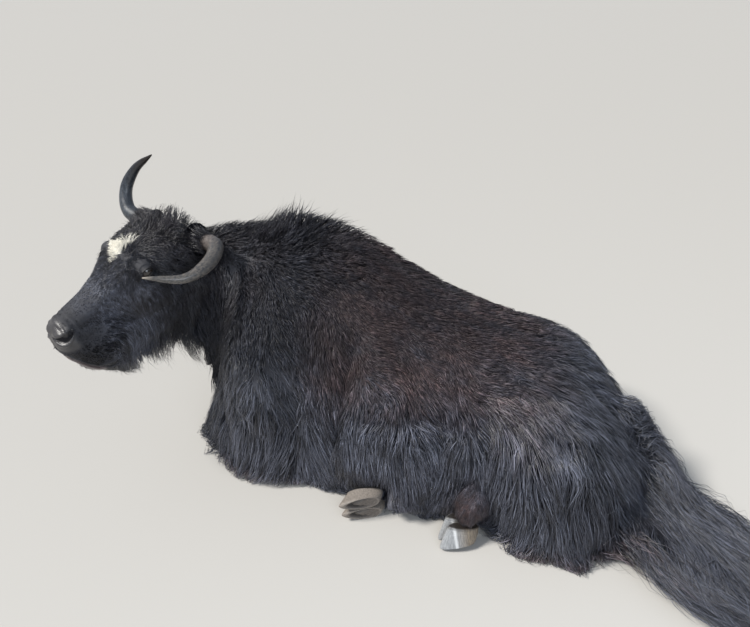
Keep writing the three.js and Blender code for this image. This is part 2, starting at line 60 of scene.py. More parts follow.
# Camera in the pose frame, and the way from what it looks at back to it
CAMERA_PLACE = np.array([1.56, 0.26, 1.30])
CAMERA_TURN, CAMERA_DROP = math.radians(104.7), math.radians(27.5)
CAMERA_BACK = np.array([math.sin(CAMERA_TURN) * math.cos(CAMERA_DROP),
                        -math.cos(CAMERA_TURN) * math.cos(CAMERA_DROP), math.sin(CAMERA_DROP)])
FOCAL_PIXELS = 600
PHOTO_WIDTH = 750
SENSOR_WIDTH = 36

SKIN_VOXEL = 0.008
# The most of a solid's thickness that the coat may take on one side
COAT_SHARE = 0.40
FLOOR_GAP = 0.0015
RANDOM_SEED = 11

random = np.random.default_rng(RANDOM_SEED)
ROUND = 2 * math.pi


# Middle lines of the horns in the head frame, the same as those of the solids
LEFT_HORN = [(-0.092, 0.002, -0.044), (-0.184, 0.011, -0.020), (-0.226, 0.070, -0.013),
             (-0.226, 0.144, -0.004), (-0.169, 0.220, 0.034)]
RIGHT_HORN = [(0.092, 0.030, -0.036), (0.178, 0.041, -0.010), (0.207, 0.008, 0.033),
              (0.188, -0.038, 0.082), (0.129, -0.078, 0.125)]
# How far the horns reach into the head past the base of the solids
HORN_ROOT = 0.045
# Radius of a horn at shares of its length
HORN_RADIUS = ((0, 0.0250), (0.25, 0.0225), (0.6, 0.0165), (0.88, 0.0085), (1, 0.0022))


# Small vector helpers

def unit(vectors):
    length = np.linalg.norm(vectors, axis=-1, keepdims=True)
    return vectors / np.maximum(length, 1e-9)


def ramp(values, low, high):
    t = np.clip((values - low) / (high - low), 0.0, 1.0)
    return t * t * (3 - 2 * t)


def bell(values, centre, reach):
    return np.exp(-((values - centre) / reach) ** 2)


def blob(points, centre, reach):
    gap = (points - np.array(centre)) / np.array(reach)
    return np.exp(-np.sum(gap * gap, axis=-1))


# Smooth random bending of directions: plane waves with lengths from a few centimetres to a hand

DRIFT_WAVES = 24
DRIFT_SHORTEST, DRIFT_LONGEST, DRIFT_USUAL = 0.035, 0.22, 0.12
drift_lengths = random.uniform(DRIFT_SHORTEST, DRIFT_LONGEST, DRIFT_WAVES)
drift_ways = random.normal(size=(DRIFT_WAVES, 3))
drift_ways *= ROUND / (drift_lengths * np.linalg.norm(drift_ways, axis=1))[:, None]
drift_pushes = random.normal(size=(DRIFT_WAVES, 3)) * np.sqrt(drift_lengths / DRIFT_USUAL)[:, None]
drift_phases = random.uniform(0, ROUND, DRIFT_WAVES)


def drift(points):
    return np.sin(points @ drift_ways.T + drift_phases) @ drift_pushes / math.sqrt(DRIFT_WAVES / 2)


# Hanging hair falls in folds: waves along the floor plane only, so the folds run up and down

FOLD_WAVES = 14
FOLD_NARROWEST, FOLD_WIDEST, FOLD_LEAN = 0.05, 0.17, 0.12
fold_lengths = random.uniform(FOLD_NARROWEST, FOLD_WIDEST, FOLD_WAVES)
fold_turns = random.uniform(0, ROUND, FOLD_WAVES)
fold_leans = FOLD_LEAN * random.normal(size=FOLD_WAVES)
fold_ways = np.stack([np.cos(fold_turns), np.sin(fold_turns), fold_leans], axis=1)
fold_ways *= (ROUND / fold_lengths)[:, None]
fold_phases = random.uniform(0, ROUND, FOLD_WAVES)


def folds(points):
    """Shares from 0 on the crest of a fold to 1 in the dip beside it."""
    swell = np.sin(points @ fold_ways.T + fold_phases).sum(axis=1) / math.sqrt(FOLD_WAVES / 2)
    return ramp(swell, -1.2, 1.4)


# Streaks along the hair: random cells of space, averaged along the way the hair lies

STREAK_SAMPLES = 9
STREAK_CONTRAST = 0.8
CELL_LEVELS = 4096
CELL_PRIMES = np.array([73856093, 19349663, 83492791])


def cell_share(points, size):
    """A number from 0 to 1 for each cell of space, scrambled from the cell's whole coordinates."""
    cell = np.floor(points / size).astype(np.int64) @ CELL_PRIMES
    cell = (cell ^ (cell >> 13)) * 1274126177 % 2147483647
    return (cell ^ (cell >> 15)) % CELL_LEVELS / (CELL_LEVELS - 1)


def streaks(points, lie, cell, reach):
    total = np.zeros(len(points))
    for step in np.linspace(-reach, reach, STREAK_SAMPLES):
        total += cell_share(points + lie * step, cell)
    spread = STREAK_CONTRAST * math.sqrt(STREAK_SAMPLES)
    return np.clip(0.5 + (total / STREAK_SAMPLES - 0.5) * spread, 0, 1)


def head_axes():
    right = NOSE_AIM.cross(Vector((0, 0, 1))).normalized()
    up = right.cross(NOSE_AIM)
    roll = Matrix.Rotation(-HEAD_ROLL, 3, NOSE_AIM)
    return np.array([roll @ right, NOSE_AIM, roll @ up])


def middle(node):
    low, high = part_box(node)
    return np.array((low + high) / 2)


HEAD_AXES = head_axes()
HEAD_ORIGIN = middle("eye_right") - RIGHT_EYE @ HEAD_AXES
POSE_SHIFT = HEAD_ORIGIN - POLL


def to_head(points):
    return (points - HEAD_ORIGIN) @ HEAD_AXES.T


def from_head(points):
    return HEAD_ORIGIN + np.asarray(points) @ HEAD_AXES


def to_pose(points):
    return points - POSE_SHIFT


# Meshes as arrays

def arrays_of(mesh):
    verts = np.empty(len(mesh.vertices) * 3, np.float32)
    mesh.vertices.foreach_get("co", verts)
    mesh.calc_loop_triangles()
    tris = np.empty(len(mesh.loop_triangles) * 3, np.int32)
    mesh.loop_triangles.foreach_get("vertices", tris)
    return verts.reshape(-1, 3).astype(float), tris.reshape(-1, 3)


def joined_solids(names):
    verts, tris, owner = [], [], []
    count = 0
    for index, name in enumerate(names):
        v, t = arrays_of(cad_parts[name].data)
        verts.append(v)
        tris.append(t + count)
        owner.append(np.full(len(t), index))
        count += len(v)
    return np.concatenate(verts), np.concatenate(tris), np.concatenate(owner)


def link(obj):
    bpy.context.scene.collection.objects.link(obj)
    return obj


def new_mesh(name, verts, faces):
    mesh = bpy.data.meshes.new(name)
    mesh.from_pydata(np.asarray(verts).tolist(), [], np.asarray(faces).tolist())
    mesh.update()
    return mesh


def remeshed(verts, tris, size):
    source = link(bpy.data.objects.new("rough", new_mesh("rough", verts, tris)))
    modifier = source.modifiers.new("voxels", "REMESH")
    modifier.mode = "VOXEL"
    modifier.voxel_size = size
    graph = bpy.context.evaluated_depsgraph_get()
    made = bpy.data.meshes.new_from_object(source.evaluated_get(graph))
    bpy.data.objects.remove(source)
    return made


def read_verts(mesh):
    verts = np.empty(len(mesh.vertices) * 3, np.float32)
    mesh.vertices.foreach_get("co", verts)
    return verts.reshape(-1, 3).astype(float)


def write_verts(mesh, verts):
    mesh.vertices.foreach_set("co", verts.astype(np.float32).ravel())
    mesh.update()


def edge_pairs(mesh):
    pairs = np.empty(len(mesh.edges) * 2, np.int32)
    mesh.edges.foreach_get("vertices", pairs)
    return pairs.reshape(-1, 2)


def neighbour_mean(values, pairs):
    flat = values.reshape(len(values), -1)
    a, b = pairs[:, 0], pairs[:, 1]
    count = len(values)
    degree = np.bincount(a, minlength=count) + np.bincount(b, minlength=count)
    total = np.empty_like(flat)
    for k in range(flat.shape[1]):
        total[:, k] = np.bincount(a, flat[b, k], count) + np.bincount(b, flat[a, k], count)
    return (total / np.maximum(degree, 1)[:, None]).reshape(values.shape)


def smoothed(values, pairs, rounds, strength=0.5):
    strength = np.asarray(strength)
    if strength.ndim and values.ndim > 1:
        strength = strength[:, None]
    for _ in range(rounds):
        values = values + strength * (neighbour_mean(values, pairs) - values)
    return values


def vertex_normals(verts, tris):
    a, b, c = verts[tris[:, 0]], verts[tris[:, 1]], verts[tris[:, 2]]
    face = np.cross(b - a, c - a)
    total = np.zeros_like(verts)
    for k in range(3):
        for corner in range(3):
            total[:, k] += np.bincount(tris[:, corner], face[:, k], len(verts))
    return unit(total)


def tree_of(verts, tris):
    return BVHTree.FromPolygons(verts.tolist(), tris.tolist())


def nearest(tree, points):
    places = np.empty((len(points), 3))
    normals = np.empty((len(points), 3))
    faces = np.empty(len(points), np.int32)
    for i, point in enumerate(points.tolist()):
        place, normal, face, _ = tree.find_nearest(point)
        places[i] = place
        normals[i] = normal
        faces[i] = face
    return places, normals, faces


# Nodes of flesh, which one skin replaces

APART = ("eye_", "horn_", "hoof_")
FLESH = [name for name in sorted(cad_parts) if not name.startswith(APART)]

# Depth of the coat on each node, in metres
COAT_DEPTH = {
    "muzzle": 0.0015, "lower_jaw": 0.006, "head": 0.010, "ear_left": 0.007, "ear_right": 0.007,
    "neck": 0.030, "trunk_chest": 0.030, "trunk_barrel": 0.026, "trunk_rump": 0.032,
    "foreleg_upper_left": 0.035, "foreleg_upper_right": 0.035,
    "foreleg_lower_left": 0.040, "foreleg_lower_right": 0.040,
    "thigh_left": 0.040, "thigh_right": 0.040, "hock_left": 0.040, "hock_right": 0.040,
    "foot_hind_left": 0.006, "foot_hind_right": 0.018,
    "tail_dock": 0.024, "tail_brush_root": 0.030, "tail_brush_tip": 0.016,
}
LONG_HAIRED = ("trunk", "thigh", "hock", "foreleg")
EARS = ("ear_left", "ear_right")
BARE_HEAD = ("head", "muzzle", "lower_jaw")
FINE_NODES = (*BARE_HEAD, *EARS, "foot_hind_left")


def head_depth(places):
    _, y, z = places.T
    crown = 0.030 * ramp(-y, -0.14, -0.02) * ramp(z, -0.12, -0.02)
    cheek = 0.012 * ramp(-z, 0.05, 0.16) * ramp(-y, -0.34, -0.25)
    jaw = 0.022 * ramp(-z, 0.16, 0.26) * ramp(-y, -0.36, -0.26)
    nape = 0.020 * ramp(-y, -0.05, 0.03)
    bare = ramp(y, 0.30, 0.38)
    return (0.006 + crown + cheek + jaw + nape) * (1 - bare) + 0.0012 * bare


def depth_of_coat(verts, owner):
    depth = np.array([COAT_DEPTH[name] for name in FLESH])[owner]
    is_head = np.isin(owner, [FLESH.index(name) for name in BARE_HEAD])
    depth[is_head] = head_depth(to_head(verts[is_head]))
    trunk = np.array([name.startswith(LONG_HAIRED) for name in FLESH])[owner]
    low = 0.022 * ramp(-verts[:, 2], -0.34, -0.12)
    hump = 0.030 * blob(to_pose(verts), (0, -0.38, 0.76), (0.2, 0.2, 0.09))
    return depth + trunk * (low + hump)


# The bare jaw's lower edge in the head frame as y and z: below it there is only hair
JAW_LINE = np.array([[-0.07, -0.19], [0.05, -0.262], [0.14, -0.276], [0.22, -0.268],
                     [0.32, -0.262], [0.38, -0.284], [0.41, -0.264], [0.44, -0.216],
                     [0.46, -0.150]])
# Share of the solid jaw's depth below that line which the skin leaves to the beard
JAW_RAISED = 0.88


def raised_jaw(verts):
    places = to_head(verts)
    x, y, z = places.T
    share = ramp(y, 0.0, 0.09) * (np.abs(x) < 0.17) * (z > -0.50)
    below = np.maximum(np.interp(y, *JAW_LINE.T) - z, 0)
    places[:, 2] = z + share * below * JAW_RAISED
    return from_head(places)


# Creases of the body, in the pose frame: places along each, half width and depth
CREASES = [
    (((0.27, -0.150, 0.520), (0.33, -0.155, 0.440), (0.348, -0.180, 0.330),
      (0.345, -0.200, 0.230)), 0.030, 0.030),
    (((0.350, -0.10, 0.325), (0.345, 0.00, 0.355), (0.330, 0.13, 0.350),
      (0.325, 0.215, 0.370)), 0.024, 0.018),
    (((0.300, 0.205, 0.430), (0.350, 0.225, 0.330), (0.380, 0.235, 0.220),
      (0.370, 0.240, 0.060)), 0.026, 0.030),
    (((0.120, 0.640, 0.270), (0.250, 0.615, 0.270), (0.350, 0.560, 0.210),
      (0.372, 0.570, 0.060)), 0.030, 0.032),
]


def away_from_line(points, line):
    line = np.array(line)
    best = np.full(len(points), np.inf)
    for start, end in zip(line[:-1], line[1:]):
        along = end - start
        t = np.clip((points - start) @ along / (along @ along), 0, 1)
        best = np.minimum(best, np.linalg.norm(points - start - t[:, None] * along, axis=1))
    return best


def creased(points):
    """How deep the creases are at each place, in metres."""
    place = to_pose(points)
    deep = np.zeros(len(points))
    for line, half, depth in CREASES:
        deep = np.maximum(deep, depth * bell(away_from_line(place, line), 0, half))
    return deep


def skin_shape():
    solids, tris, owner = joined_solids(FLESH)
    cad_tree = tree_of(solids, tris)
    mesh = remeshed(solids, tris, SKIN_VOXEL)
    verts = read_verts(mesh)
    pairs = edge_pairs(mesh)
    _, faces = arrays_of(mesh)
    _, _, hit = nearest(cad_tree, verts)
    member = owner[hit]
    fine = np.isin(member, [FLESH.index(name) for name in FINE_NODES])
    verts = smoothed(verts, pairs, 4, 0.5)
    shell = tree_of(verts, faces)
    verts = smoothed(verts, pairs, 26, np.where(fine, 0.06, 0.5))
    normals = vertex_normals(verts, faces)
    thickness = inner_thickness(verts, faces, normals)
    depth = np.minimum(depth_of_coat(verts, member), COAT_SHARE * thickness)
    depth = smoothed(depth, pairs, 14, np.where(fine, 0.25, 0.5))
    on_floor = ramp(-verts[:, 2], -0.03, -0.004) * ramp(-normals[:, 2], 0.3, 0.8)
    depth *= 1 - 0.7 * on_floor
    depth += np.where(fine, 0, creased(verts))
    verts = raised_jaw(verts - normals * depth[:, None])
    verts = smoothed(verts, pairs, 6, np.where(fine, 0.15, 0.5))
    verts[:, 2] = np.maximum(verts[:, 2], FLOOR_GAP)
    write_verts(mesh, verts)
    return mesh, cad_tree, owner, shell


def inner_thickness(verts, faces, normals, most=0.5):
    tree = tree_of(verts, faces)
    found = np.full(len(verts), most)
    for i, (point, normal) in enumerate(zip(verts, normals)):
        start = point - normal * 0.0005
        hit = tree.ray_cast(start.tolist(), (-normal).tolist(), most)
        if hit[3] is not None:
            found[i] = hit[3]
    return found


# Finer mesh where the face has small forms: places in the head frame, and how far round them

FINE_PLACES = [
    [((0, 0.20, -0.10), 0.40)],
    [((0.095, 0.180, -0.01), 0.055), ((-0.095, 0.180, -0.01), 0.055), ((0, 0.42, -0.12), 0.115)],
    [((0.100, 0.180, -0.01), 0.032), ((-0.100, 0.180, -0.01), 0.032),
     ((0.05, 0.44, -0.06), 0.036), ((-0.05, 0.44, -0.06), 0.036)],
]


def refine(mesh):
    for level in FINE_PLACES:
        shape = bmesh.new()
        shape.from_mesh(mesh)
        shape.verts.ensure_lookup_table()
        places = to_head(np.array([v.co for v in shape.verts]))
        close = np.zeros(len(places), bool)
        for centre, reach in level:
            close |= np.linalg.norm(places - np.array(centre), axis=1) < reach
        chosen = [e for e in shape.edges if close[e.verts[0].index] and close[e.verts[1].index]]
        bmesh.ops.subdivide_edges(shape, edges=chosen, cuts=1, use_grid_fill=True)
        long_faces = [f for f in shape.faces if len(f.verts) > 4]
        bmesh.ops.triangulate(shape, faces=long_faces)
        shape.to_mesh(mesh)
        shape.free()
        verts = read_verts(mesh)
        places = to_head(verts)
        close = np.zeros(len(places))
        for centre, reach in level:
            gap = np.linalg.norm(places - np.array(centre), axis=1)
            close = np.maximum(close, ramp(-gap, -reach, -0.9 * reach))
        write_verts(mesh, smoothed(verts, edge_pairs(mesh), 3, 0.5 * close))


# Face forms, pushed along an outward axis over a patch of the head

def patch_frame(places, centre, outward, along):
    """Places seen from a patch of the head: out of it, along it and up it, and the way out."""
    out = unit(np.array(outward, float))
    u = np.array(along, float)
    u = unit(u - out * (u @ out))
    v = np.cross(out, u)
    v = -v if v[2] < 0 else v
    gap = places - centre
    return gap @ out, gap @ u, gap @ v, out


def eye_frame(places, side):
    aim = np.array(EYE_AIM) * (side, 1, 1)
    centre = RIGHT_EYE * (side, 1, 1) - EYE_INSET * unit(aim)
    return patch_frame(places, centre, aim, (0, 1, -0.12))


# Lids: a ball just outside the eye's, cut by a slit between an upper and a lower arch
LID_RADIUS = 0.0222
LID_EDGE = 0.0195
SLIT_HALF = 0.0178
SLIT_UP, SLIT_DOWN = 0.0092, 0.0070


def sculpt_eye(places, side):
    o, u, v, out = eye_frame(places, side)
    away = np.hypot(u, v)
    near = ramp(-away, -0.034, -0.020) * (o > -0.035)
    lid = np.sqrt(np.maximum(LID_RADIUS ** 2 - away ** 2, 0))
    lid = np.where(away > LID_EDGE, 0.46 * LID_RADIUS - 0.5 * (away - LID_EDGE), lid)
    arch = (1 - np.clip(u / SLIT_HALF, -1, 1) ** 2) ** 0.8
    upper, lower = SLIT_UP * arch, -SLIT_DOWN * arch
    from_middle = np.abs(v - (upper + lower) / 2)
    half = np.maximum((upper - lower) / 2, 1e-5)
    inside = ramp(-from_middle / half, -1.12, -0.88) * (np.abs(u) < SLIT_HALF)
    rim = bell(from_middle - half, 0.0018, 0.0016) * (np.abs(u) < 0.019) * (away < 0.021)
    fold = bell(v + 40 * u * u, 0.0175, 0.0030) * ramp(-np.abs(u), -0.026, -0.012)
    target = lid + 0.0012 * rim - 0.0022 * fold - 0.0085 * inside
    brow = 0.003 * bell(v, 0.027, 0.009) * bell(u, 0, 0.024)
    return places + out * (near * (target - o) + brow)[:, None]


# The right nostril's middle in the head frame, half its length and half its height
NOSTRIL = (0.037, 0.441, -0.071)
NOSTRIL_LONG, NOSTRIL_HIGH = 0.030, 0.0092


def sculpt_nostril(places, side):
    o, u, v, out = patch_frame(places, np.array(NOSTRIL) * (side, 1, 1), (0.62 * side, 0.78, 0.0),
                               (0.72 * side, -0.69, 0.08))
    v = v - 9.0 * (u + 0.004) ** 2
    span = np.clip(u / NOSTRIL_LONG, -1, 1)
    half = NOSTRIL_HIGH * np.sqrt(1 - span ** 2) * (1 + 0.30 * span) + 1e-5
    ends = ramp(-np.abs(u), -0.034, -0.016)
    hole = ramp(-np.abs(v) / half, -1.15, -0.55) * (np.abs(u) < NOSTRIL_LONG)
    wing = bell(v - half, 0.006, 0.006) * ends
    lip = bell(v + half, -0.005, 0.004) * ends
    near = np.abs(o) < 0.05
    return places + out * (near * (0.0055 * wing + 0.0030 * lip - 0.020 * hole))[:, None]


# Where the lips meet, in the head frame as y and z
MOUTH_LINE = np.array([[0.340, -0.246], [0.380, -0.236], [0.410, -0.218], [0.425, -0.192],
                       [0.436, -0.168], [0.447, -0.142], [0.462, -0.122]])


def sculpt_mouth(places):
    y, z = places[:, 1], places[:, 2]
    line = np.interp(y, *MOUTH_LINE.T)
    gap = z - line
    there = ramp(y, 0.338, 0.352)
    groove = bell(gap, -0.001, 0.0034) * there
    lips = (bell(gap, 0.012, 0.008) + 1.2 * bell(gap, -0.013, 0.008)) * there
    inward = unit(np.stack([places[:, 0], 0.35 * (y - 0.36), 0 * y], axis=1))
    return places + inward * (0.0030 * lips - 0.0085 * groove)[:, None]


def sculpt_muzzle_folds(places):
    x, y, z = places.T
    away = np.abs(x)
    philtrum = 0.004 * bell(x, 0, 0.0030) * ramp(y, 0.435, 0.452) * ramp(-z, 0.07, 0.10)
    ridge = 0.004 * bell(away, 0.046, 0.012) * ramp(z, -0.075, -0.045)
    ridge *= ramp(y, 0.22, 0.30) * ramp(-y, -0.43, -0.37)
    wrinkle = 0.0012 * np.sin(y * 420 + 6 * away) * bell(z, -0.052, 0.02)
    wrinkle *= ramp(y, 0.37, 0.40) * ramp(-y, -0.44, -0.42)
    out = unit(np.stack([x, 0 * y, z + 0.12], axis=1))
    return places + out * (ridge + wrinkle)[:, None] - np.array([0, 1.0, 0]) * philtrum[:, None]


def sculpt_face(mesh):
    verts = read_verts(mesh)
    places = to_head(verts)
    near = np.linalg.norm(places - np.array([0, 0.25, -0.1]), axis=1) < 0.36
    part = places[near]
    part = sculpt_muzzle_folds(part)
    part = sculpt_mouth(part)
    for side in (-1, 1):
        part = sculpt_nostril(part, side)
        part = sculpt_eye(part, side)
    verts[near] = from_head(part)
    write_verts(mesh, verts)


# Markings, the same on skin and coat: shares of brown, pale dust and white hair at each place

# Corners of the white mark on the forehead in the head frame, across and along
BLAZE = np.array([(0.096, 0.162), (-0.010, 0.128), (0.012, 0.206)])


def blazed(head):
    """How far inside the white mark each place is, in metres, with a wavering edge."""
    x, y, z = head.T
    inside = np.full(len(head), 1.0)
    for (ax, ay), (bx, by) in zip(BLAZE, np.roll(BLAZE, -1, axis=0)):
        length = math.hypot(bx - ax, by - ay)
        beside = ((x - ax) * (by - ay) - (y - ay) * (bx - ax)) / length
        inside = np.minimum(inside, beside)
    waver = 0.004 * np.sin(x * 260 + 3 * np.sin(y * 190)) + 0.003 * np.sin(y * 410 + x * 330)
    return np.where(z > -0.035, inside + waver, -1.0)


def markings(points):
    place = to_pose(points)
    head = to_head(points)
    _, y, z = place.T
    saddle = ramp(z, 0.30, 0.44) * ramp(y, -0.36, -0.16) * ramp(-y, -0.46, -0.26)
    brown = 0.80 * saddle
    brown += 0.35 * blob(place, (0.12, -0.50, 0.62), (0.15, 0.14, 0.1))
    brown += 0.55 * ramp(-z, -0.14, -0.03) * ramp(y, 0.28, 0.40) * ramp(-y, -0.66, -0.55)
    brown += 0.50 * ramp(-z, -0.10, -0.02) * ramp(y, -0.62, -0.52) * ramp(-y, 0.22, 0.34)
    brown += 0.25 * blob(head, (0, 0.07, 0.03), (0.14, 0.07, 0.06))
    brown += 0.90 * blob(place, (0.37, 0.20, 0.11), (0.06, 0.05, 0.07))
    brown -= 0.60 * blob(place, (0.388, 0.200, 0.062), (0.05, 0.04, 0.022))
    brown += 0.75 * blob(place, (0.38, -0.10, 0.13), (0.06, 0.12, 0.06))
    dust = 0.9 * blob(place, (0.115, 0.535, 0.345), (0.035, 0.032, 0.03))
    dust += 0.55 * blob(place, (0.388, 0.200, 0.062), (0.05, 0.04, 0.022))
    dust += 0.14 * blob(place, (0.19, 0.36, 0.45), (0.12, 0.12, 0.06))
    dust += 0.50 * blob(head, (-0.20, -0.03, -0.12), (0.06, 0.06, 0.06))
    white = ramp(blazed(head), -0.006, 0.008)
    return np.stack([np.clip(brown, 0, 1), np.clip(dust, 0, 1), white], axis=1)


def painted_sheen(points):
    """Painted sheen: how pale the hair is painted where it catches the light; least on neck, hump
    and crown, most on hanging hair.
    """
    place = to_pose(points)
    _, y, z = place.T
    head = to_head(points)
    near_head = ramp(-np.linalg.norm(head - (0, 0.2, -0.12), axis=1), -0.36, -0.28)
    body = 0.68 + 0.34 * ramp(-z, -0.55, -0.36) * ramp(y, -0.55, -0.25)
    body += 0.16 * ramp(-z, -0.48, -0.30)
    body += 0.26 * blob(place, (0.25, -0.56, 0.24), (0.22, 0.20, 0.20)) - 0.15 * ramp(y, 0.30, 0.60)
    cheek = 0.56 + 0.90 * blob(head[:, 1:], (0.30, -0.17), (0.075, 0.17))
    cheek += 0.45 * blob(head[:, 1:], (0.20, -0.07), (0.09, 0.06))
    return np.clip(body * (1 - near_head) + cheek * near_head, 0.35, 1.3)


def set_colour(mesh, name, values):
    layer = mesh.attributes.new(name, "FLOAT_COLOR", "POINT")
    rgba = np.ones((len(values), 4), np.float32)
    rgba[:, :values.shape[1]] = values
    layer.data.foreach_set("color", rgba.ravel())


# The comb, in the pose frame for the left side: a place, which way the hair lies there, how long
# it is and how far it is raised

COMB = [
    ((0, -0.38, 0.78), (0, 0.45, 0.7), 0.08, 0.7),
    ((0.1, -0.32, 0.74), (0.3, 0.75, 0.15), 0.06, 0.4),
    ((0, -0.52, 0.7), (0, 0.75, 0.3), 0.065, 0.45),
    ((0, -0.22, 0.72), (0.05, 0.9, 0.05), 0.06, 0.4),
    ((0, -0.1, 0.65), (0.1, 1, -0.25), 0.048, 0.22),
    ((0, 0.05, 0.56), (0.1, 1, -0.3), 0.038, 0.16),
    ((0, 0.21, 0.51), (0.15, 1, -0.25), 0.04, 0.16),
    ((0, 0.4, 0.44), (0.2, 0.85, -0.35), 0.06, 0.28),
    ((0, 0.54, 0.33), (0.05, 0.5, -0.8), 0.085, 0.25),
    ((0, 0.67, 0.18), (0.02, 0.3, -1), 0.11, 0.2),
    ((0.18, -0.55, 0.6), (0.25, 0.55, -0.75), 0.05, 0.2),
    ((0.24, -0.4, 0.6), (0.25, 0.45, -0.8), 0.042, 0.15),
    ((0.2, -0.15, 0.58), (0.25, 0.8, -0.6), 0.036, 0.14),
    ((0.26, 0.05, 0.48), (0.2, 0.8, -0.6), 0.036, 0.13),
    ((0.22, 0.25, 0.46), (0.2, 0.85, -0.5), 0.04, 0.16),
    ((0.33, -0.1, 0.4), (0.05, 0.55, -0.85), 0.042, 0.13),
    ((0.34, 0.1, 0.36), (0.05, 0.5, -0.9), 0.046, 0.13),
    ((0.31, -0.38, 0.44), (0, 0.15, -1), 0.06, 0.14),
    ((0.28, -0.55, 0.38), (-0.05, -0.1, -1), 0.085, 0.15),
    ((0.16, -0.66, 0.28), (0, -0.3, -1), 0.1, 0.16),
    ((0, -0.7, 0.22), (0, -0.4, -1), 0.11, 0.16),
    ((0.33, -0.42, 0.22), (0.06, -0.12, -1), 0.165, 0.14),
    ((0.22, -0.62, 0.16), (0.05, -0.3, -1), 0.15, 0.14),
    ((0.05, -0.72, 0.1), (0, -0.35, -1), 0.12, 0.14),
    ((0.34, -0.2, 0.24), (0.04, -0.06, -1), 0.18, 0.13),
    ((0.36, 0, 0.24), (0.04, 0.04, -1), 0.19, 0.13),
    ((0.36, 0.15, 0.24), (0.03, 0.04, -1), 0.17, 0.13),
    ((0.35, 0.08, 0.08), (0.1, 0.02, -1), 0.11, 0.12),
    ((0.39, 0.01, 0.07), (0.45, 0.15, -0.8), 0.05, 0.32),
    ((0.33, -0.45, 0.08), (0.15, -0.2, -1), 0.11, 0.14),
    ((0.3, 0.38, 0.4), (0.2, 0.6, -0.75), 0.07, 0.18),
    ((0.38, 0.32, 0.3), (0.08, -0.12, -1), 0.19, 0.15),
    ((0.4, 0.45, 0.28), (0.08, 0.06, -1), 0.22, 0.15),
    ((0.34, 0.56, 0.26), (0.06, 0.35, -1), 0.19, 0.16),
    ((0.22, 0.55, 0.36), (0.15, 0.6, -0.75), 0.085, 0.2),
    ((0.2, 0.66, 0.2), (0.15, 0.55, -1), 0.15, 0.16),
    ((0.41, 0.3, 0.12), (0.1, -0.1, -1), 0.15, 0.13),
    ((0.41, 0.45, 0.12), (0.12, 0.05, -1), 0.16, 0.13),
    ((0.34, 0.6, 0.1), (0.1, 0.25, -1), 0.15, 0.13),
]

# The same for the head, in the head frame for its right side
HEAD_COMB = [
    ((0, 0.215, 0.012), (0, 1, -0.1), 0.014, 0.12),
    ((0, 0.16, 0.026), (0, -0.9, 0.3), 0.022, 0.25),
    ((0.05, 0.165, 0.012), (0.9, 0.2, -0.1), 0.022, 0.25),
    ((0, 0.11, 0.034), (0, -0.9, 0.4), 0.045, 0.35),
    ((0.06, 0.115, 0.012), (0.9, -0.5, 0.1), 0.06, 0.38),
    ((0.1, 0.12, -0.01), (0.8, -0.2, -0.5), 0.07, 0.36),
    ((0, 0.05, 0.042), (0, -0.8, 0.6), 0.06, 0.5),
    ((0.07, 0.05, 0.02), (0.7, -0.4, 0.3), 0.06, 0.5),
    ((0.12, 0.06, -0.03), (0.6, 0.3, -0.7), 0.085, 0.4),
    ((0.13, 0.11, -0.055), (0.2, 0.3, -1), 0.06, 0.3),
    ((0, -0.01, 0.04), (0, -0.5, 0.9), 0.065, 0.75),
    ((0.08, -0.01, 0.01), (0.7, -0.4, 0.4), 0.07, 0.65),
    ((0, -0.06, 0), (0, -0.9, 0.1), 0.065, 0.6),
    ((0.07, -0.06, -0.08), (0.5, -0.8, -0.3), 0.06, 0.45),
    ((0.12, 0.02, -0.1), (0.5, -0.1, -0.9), 0.07, 0.35),
    ((0.095, 0.174, 0.014), (0.6, 0.5, -0.5), 0.036, 0.36),
    ((0.11, 0.215, -0.04), (0.1, -0.3, -1), 0.016, 0.12),
    ((0.05, 0.3, -0.02), (0.4, 0.3, -0.7), 0.011, 0.1),
    ((0, 0.33, -0.018), (0, 1, -0.1), 0.009, 0.08),
    ((0.07, 0.3, -0.08), (0.1, -0.3, -0.9), 0.016, 0.12),
    ((0.09, 0.23, -0.11), (0.1, -0.1, -0.9), 0.032, 0.13),
    ((0.12, 0.14, -0.12), (0.1, 0.1, -0.9), 0.042, 0.15),
    ((0.12, 0.06, -0.17), (0.1, 0.2, -0.9), 0.06, 0.16),
    ((0.09, 0.28, -0.19), (0.05, 0.3, -1), 0.105, 0.22),
    ((0.11, 0.19, -0.2), (0.08, 0.3, -1), 0.105, 0.2),
    ((0.06, 0.31, -0.25), (0, 0.3, -1), 0.125, 0.25),
    ((0, 0.34, -0.26), (0, 0.3, -1), 0.105, 0.3),
    ((0, 0.22, -0.27), (0, 0.35, -1), 0.165, 0.3),
    ((0.06, 0.2, -0.27), (0, 0.35, -1), 0.17, 0.25),
    ((0.06, 0.08, -0.27), (0, 0.35, -1), 0.165, 0.25),
    ((0, 0.05, -0.27), (0, 0.35, -1), 0.165, 0.25),
    ((0.095, 0, -0.04), (1, 0.15, 0.35), 0.07, 0.55),
    ((0.105, 0.035, -0.03), (1, 0.25, 0.1), 0.075, 0.5),
    ((0.06, 0.37, -0.1), (0.2, -0.6, -0.6), 0.008, 0.06),
    ((0.05, 0.38, -0.2), (0.1, -0.6, -0.8), 0.012, 0.1),
    ((0.03, 0.4, -0.25), (0, 0.1, -1), 0.016, 0.2),
    ((0, 0.43, -0.04), (0, 1, -0.4), 0.006, 0.05),
    ((0.18, -0.045, -0.12), (1, -0.2, -0.4), 0.045, 0.45),
    ((0.22, -0.05, -0.15), (1, -0.2, -0.9), 0.05, 0.55),
]

